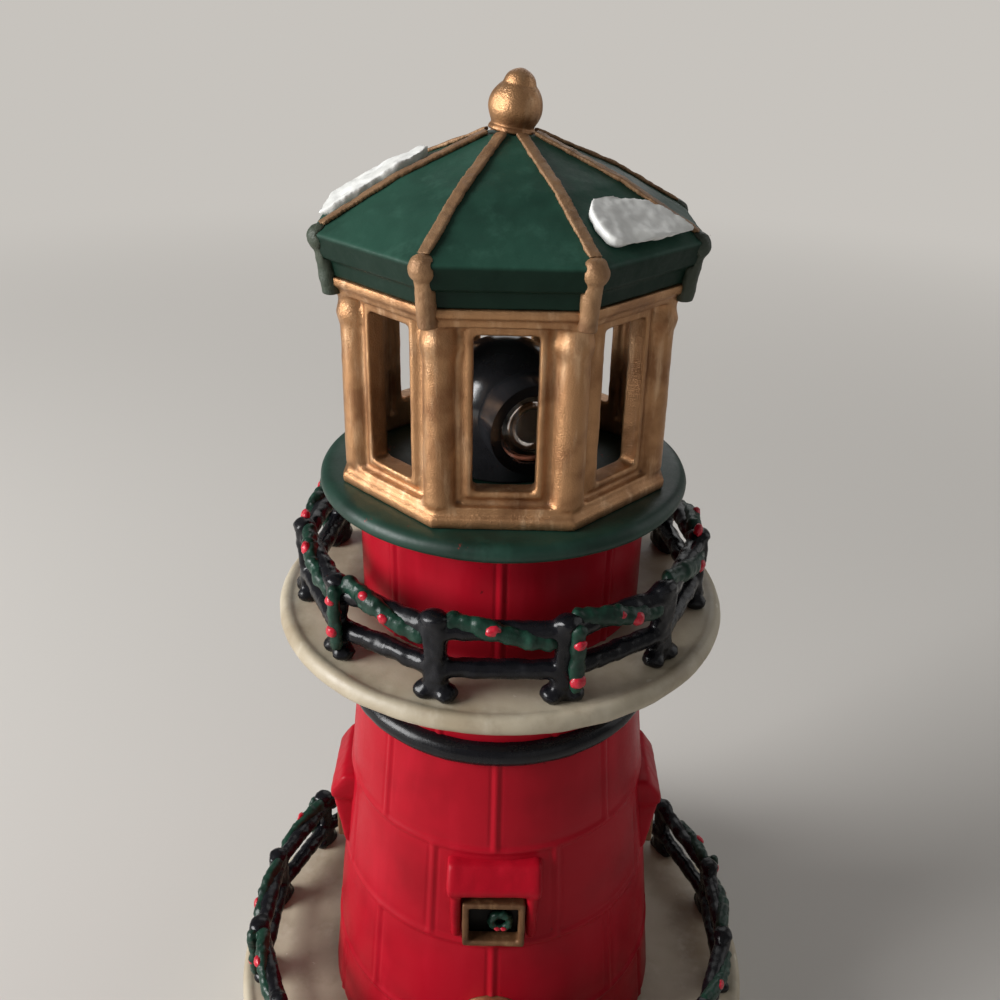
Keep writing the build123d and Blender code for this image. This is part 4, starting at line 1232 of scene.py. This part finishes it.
def makeGarland(name):
    look = fences[name]
    rng = random.Random(garlandLook["seed"] + look["count"])
    clump = garlandLook["clump"]
    half = look["radius"] * math.sin(math.pi / look["count"]) - garlandLook["endGap"]
    middle = look["radius"] * math.cos(math.pi / look["count"])
    deckTop = zHigh(look["deck"])
    level = deckTop + fenceLook["railLevels"][1]
    start = frontAngle(0) + math.pi / look["count"]
    pitch = fullTurn / look["count"]

    def onRail(share, out):  # a place on the winding length, out from the rail's middle
        turn = math.radians(garlandLook["turn"][0] * (1 - share) + garlandLook["turn"][1] * share)
        return Vector((middle + out * math.cos(turn), half * (2 * share - 1), level + out * math.sin(turn)))

    clumps = []
    for i in range(garlandLook["clumps"]):
        share = i / (garlandLook["clumps"] - 1)
        size = clump * rng.uniform(0.85, 1.1)
        clumps.append(makeClump(onRail(share, garlandLook["wind"]), (0.85 * size, size, size)))
    length = joinUp(clumps, "length")
    lengths = copiesRound(length, [start + pitch * (i + 0.5) for i in range(look["count"])])
    dropTop = deckTop + fenceLook["postHeight"] - garlandLook["dropUnder"]
    dropFace = look["radius"] + garlandLook["dropOut"]
    clumps = []
    for i in range(garlandLook["dropClumps"]):
        size = clump * rng.uniform(0.8, 1.0)
        down = garlandLook["drop"] * i / (garlandLook["dropClumps"] - 1)
        place = (dropFace, garlandLook["dropSide"], dropTop - down)
        clumps.append(makeClump(place, (0.7 * size, 0.85 * size, size)))
    dropAngles = [start - 2 * pitch * i for i in range(look["count"] // 2)]
    drops = copiesRound(joinUp(clumps, "drop"), dropAngles)
    garland = joinUp(lengths + drops, name + "Garland")
    castSkin(garland, *garlandLook["skin"])
    coat = finish["garlandGreen"]
    handOver(garland, name + "Garland", "figurine", "garland_green", coat, name + "_garland")

    def makeBerry(place, angle):  # a flat dab, no two alike
        radius = garlandLook["berry"] * rng.uniform(0.75, 1.15)
        return turned(makeClump(place, (0.6 * radius, radius, rng.uniform(0.7, 1.0) * radius)), angle)

    berries = []
    for i in range(look["count"]):
        shares = (rng.uniform(0.25, 0.45), rng.uniform(0.6, 0.8))
        if name != "gallery" or i % 3:  # both only on every third length of the gallery
            shares = shares[i % 2:][:1]
        for share in shares:
            place = onRail(share, garlandLook["wind"] + 0.6 * clump)
            berries.append(makeBerry(place, start + pitch * (i + 0.5)))
    if name == "gallery":  # one beside the head of every third post
        for i in range(2, look["count"], 3):
            place = (look["radius"] - 0.2 * mm, -1.4 * mm, deckTop + fenceLook["postHeight"] + 1.3 * mm)
            berries.append(makeBerry(place, start + pitch * i))
    for angle in dropAngles:
        for share in (rng.uniform(0.1, 0.25), rng.uniform(0.7, 0.9)):
            place = (dropFace + 0.4 * clump, garlandLook["dropSide"], dropTop - garlandLook["drop"] * share)
            berries.append(makeBerry(place, angle))
    berryPiece = joinUp(berries, name + "Berries")
    castSkin(berryPiece, *garlandLook["berrySkin"])
    handOver(berryPiece, name + "Berries", "figurine", "red_paint", finish["berryRed"])


for fenceName in fences:
    makeFence(fenceName)
    makeGarland(fenceName)

bpy.context.view_layer.update()
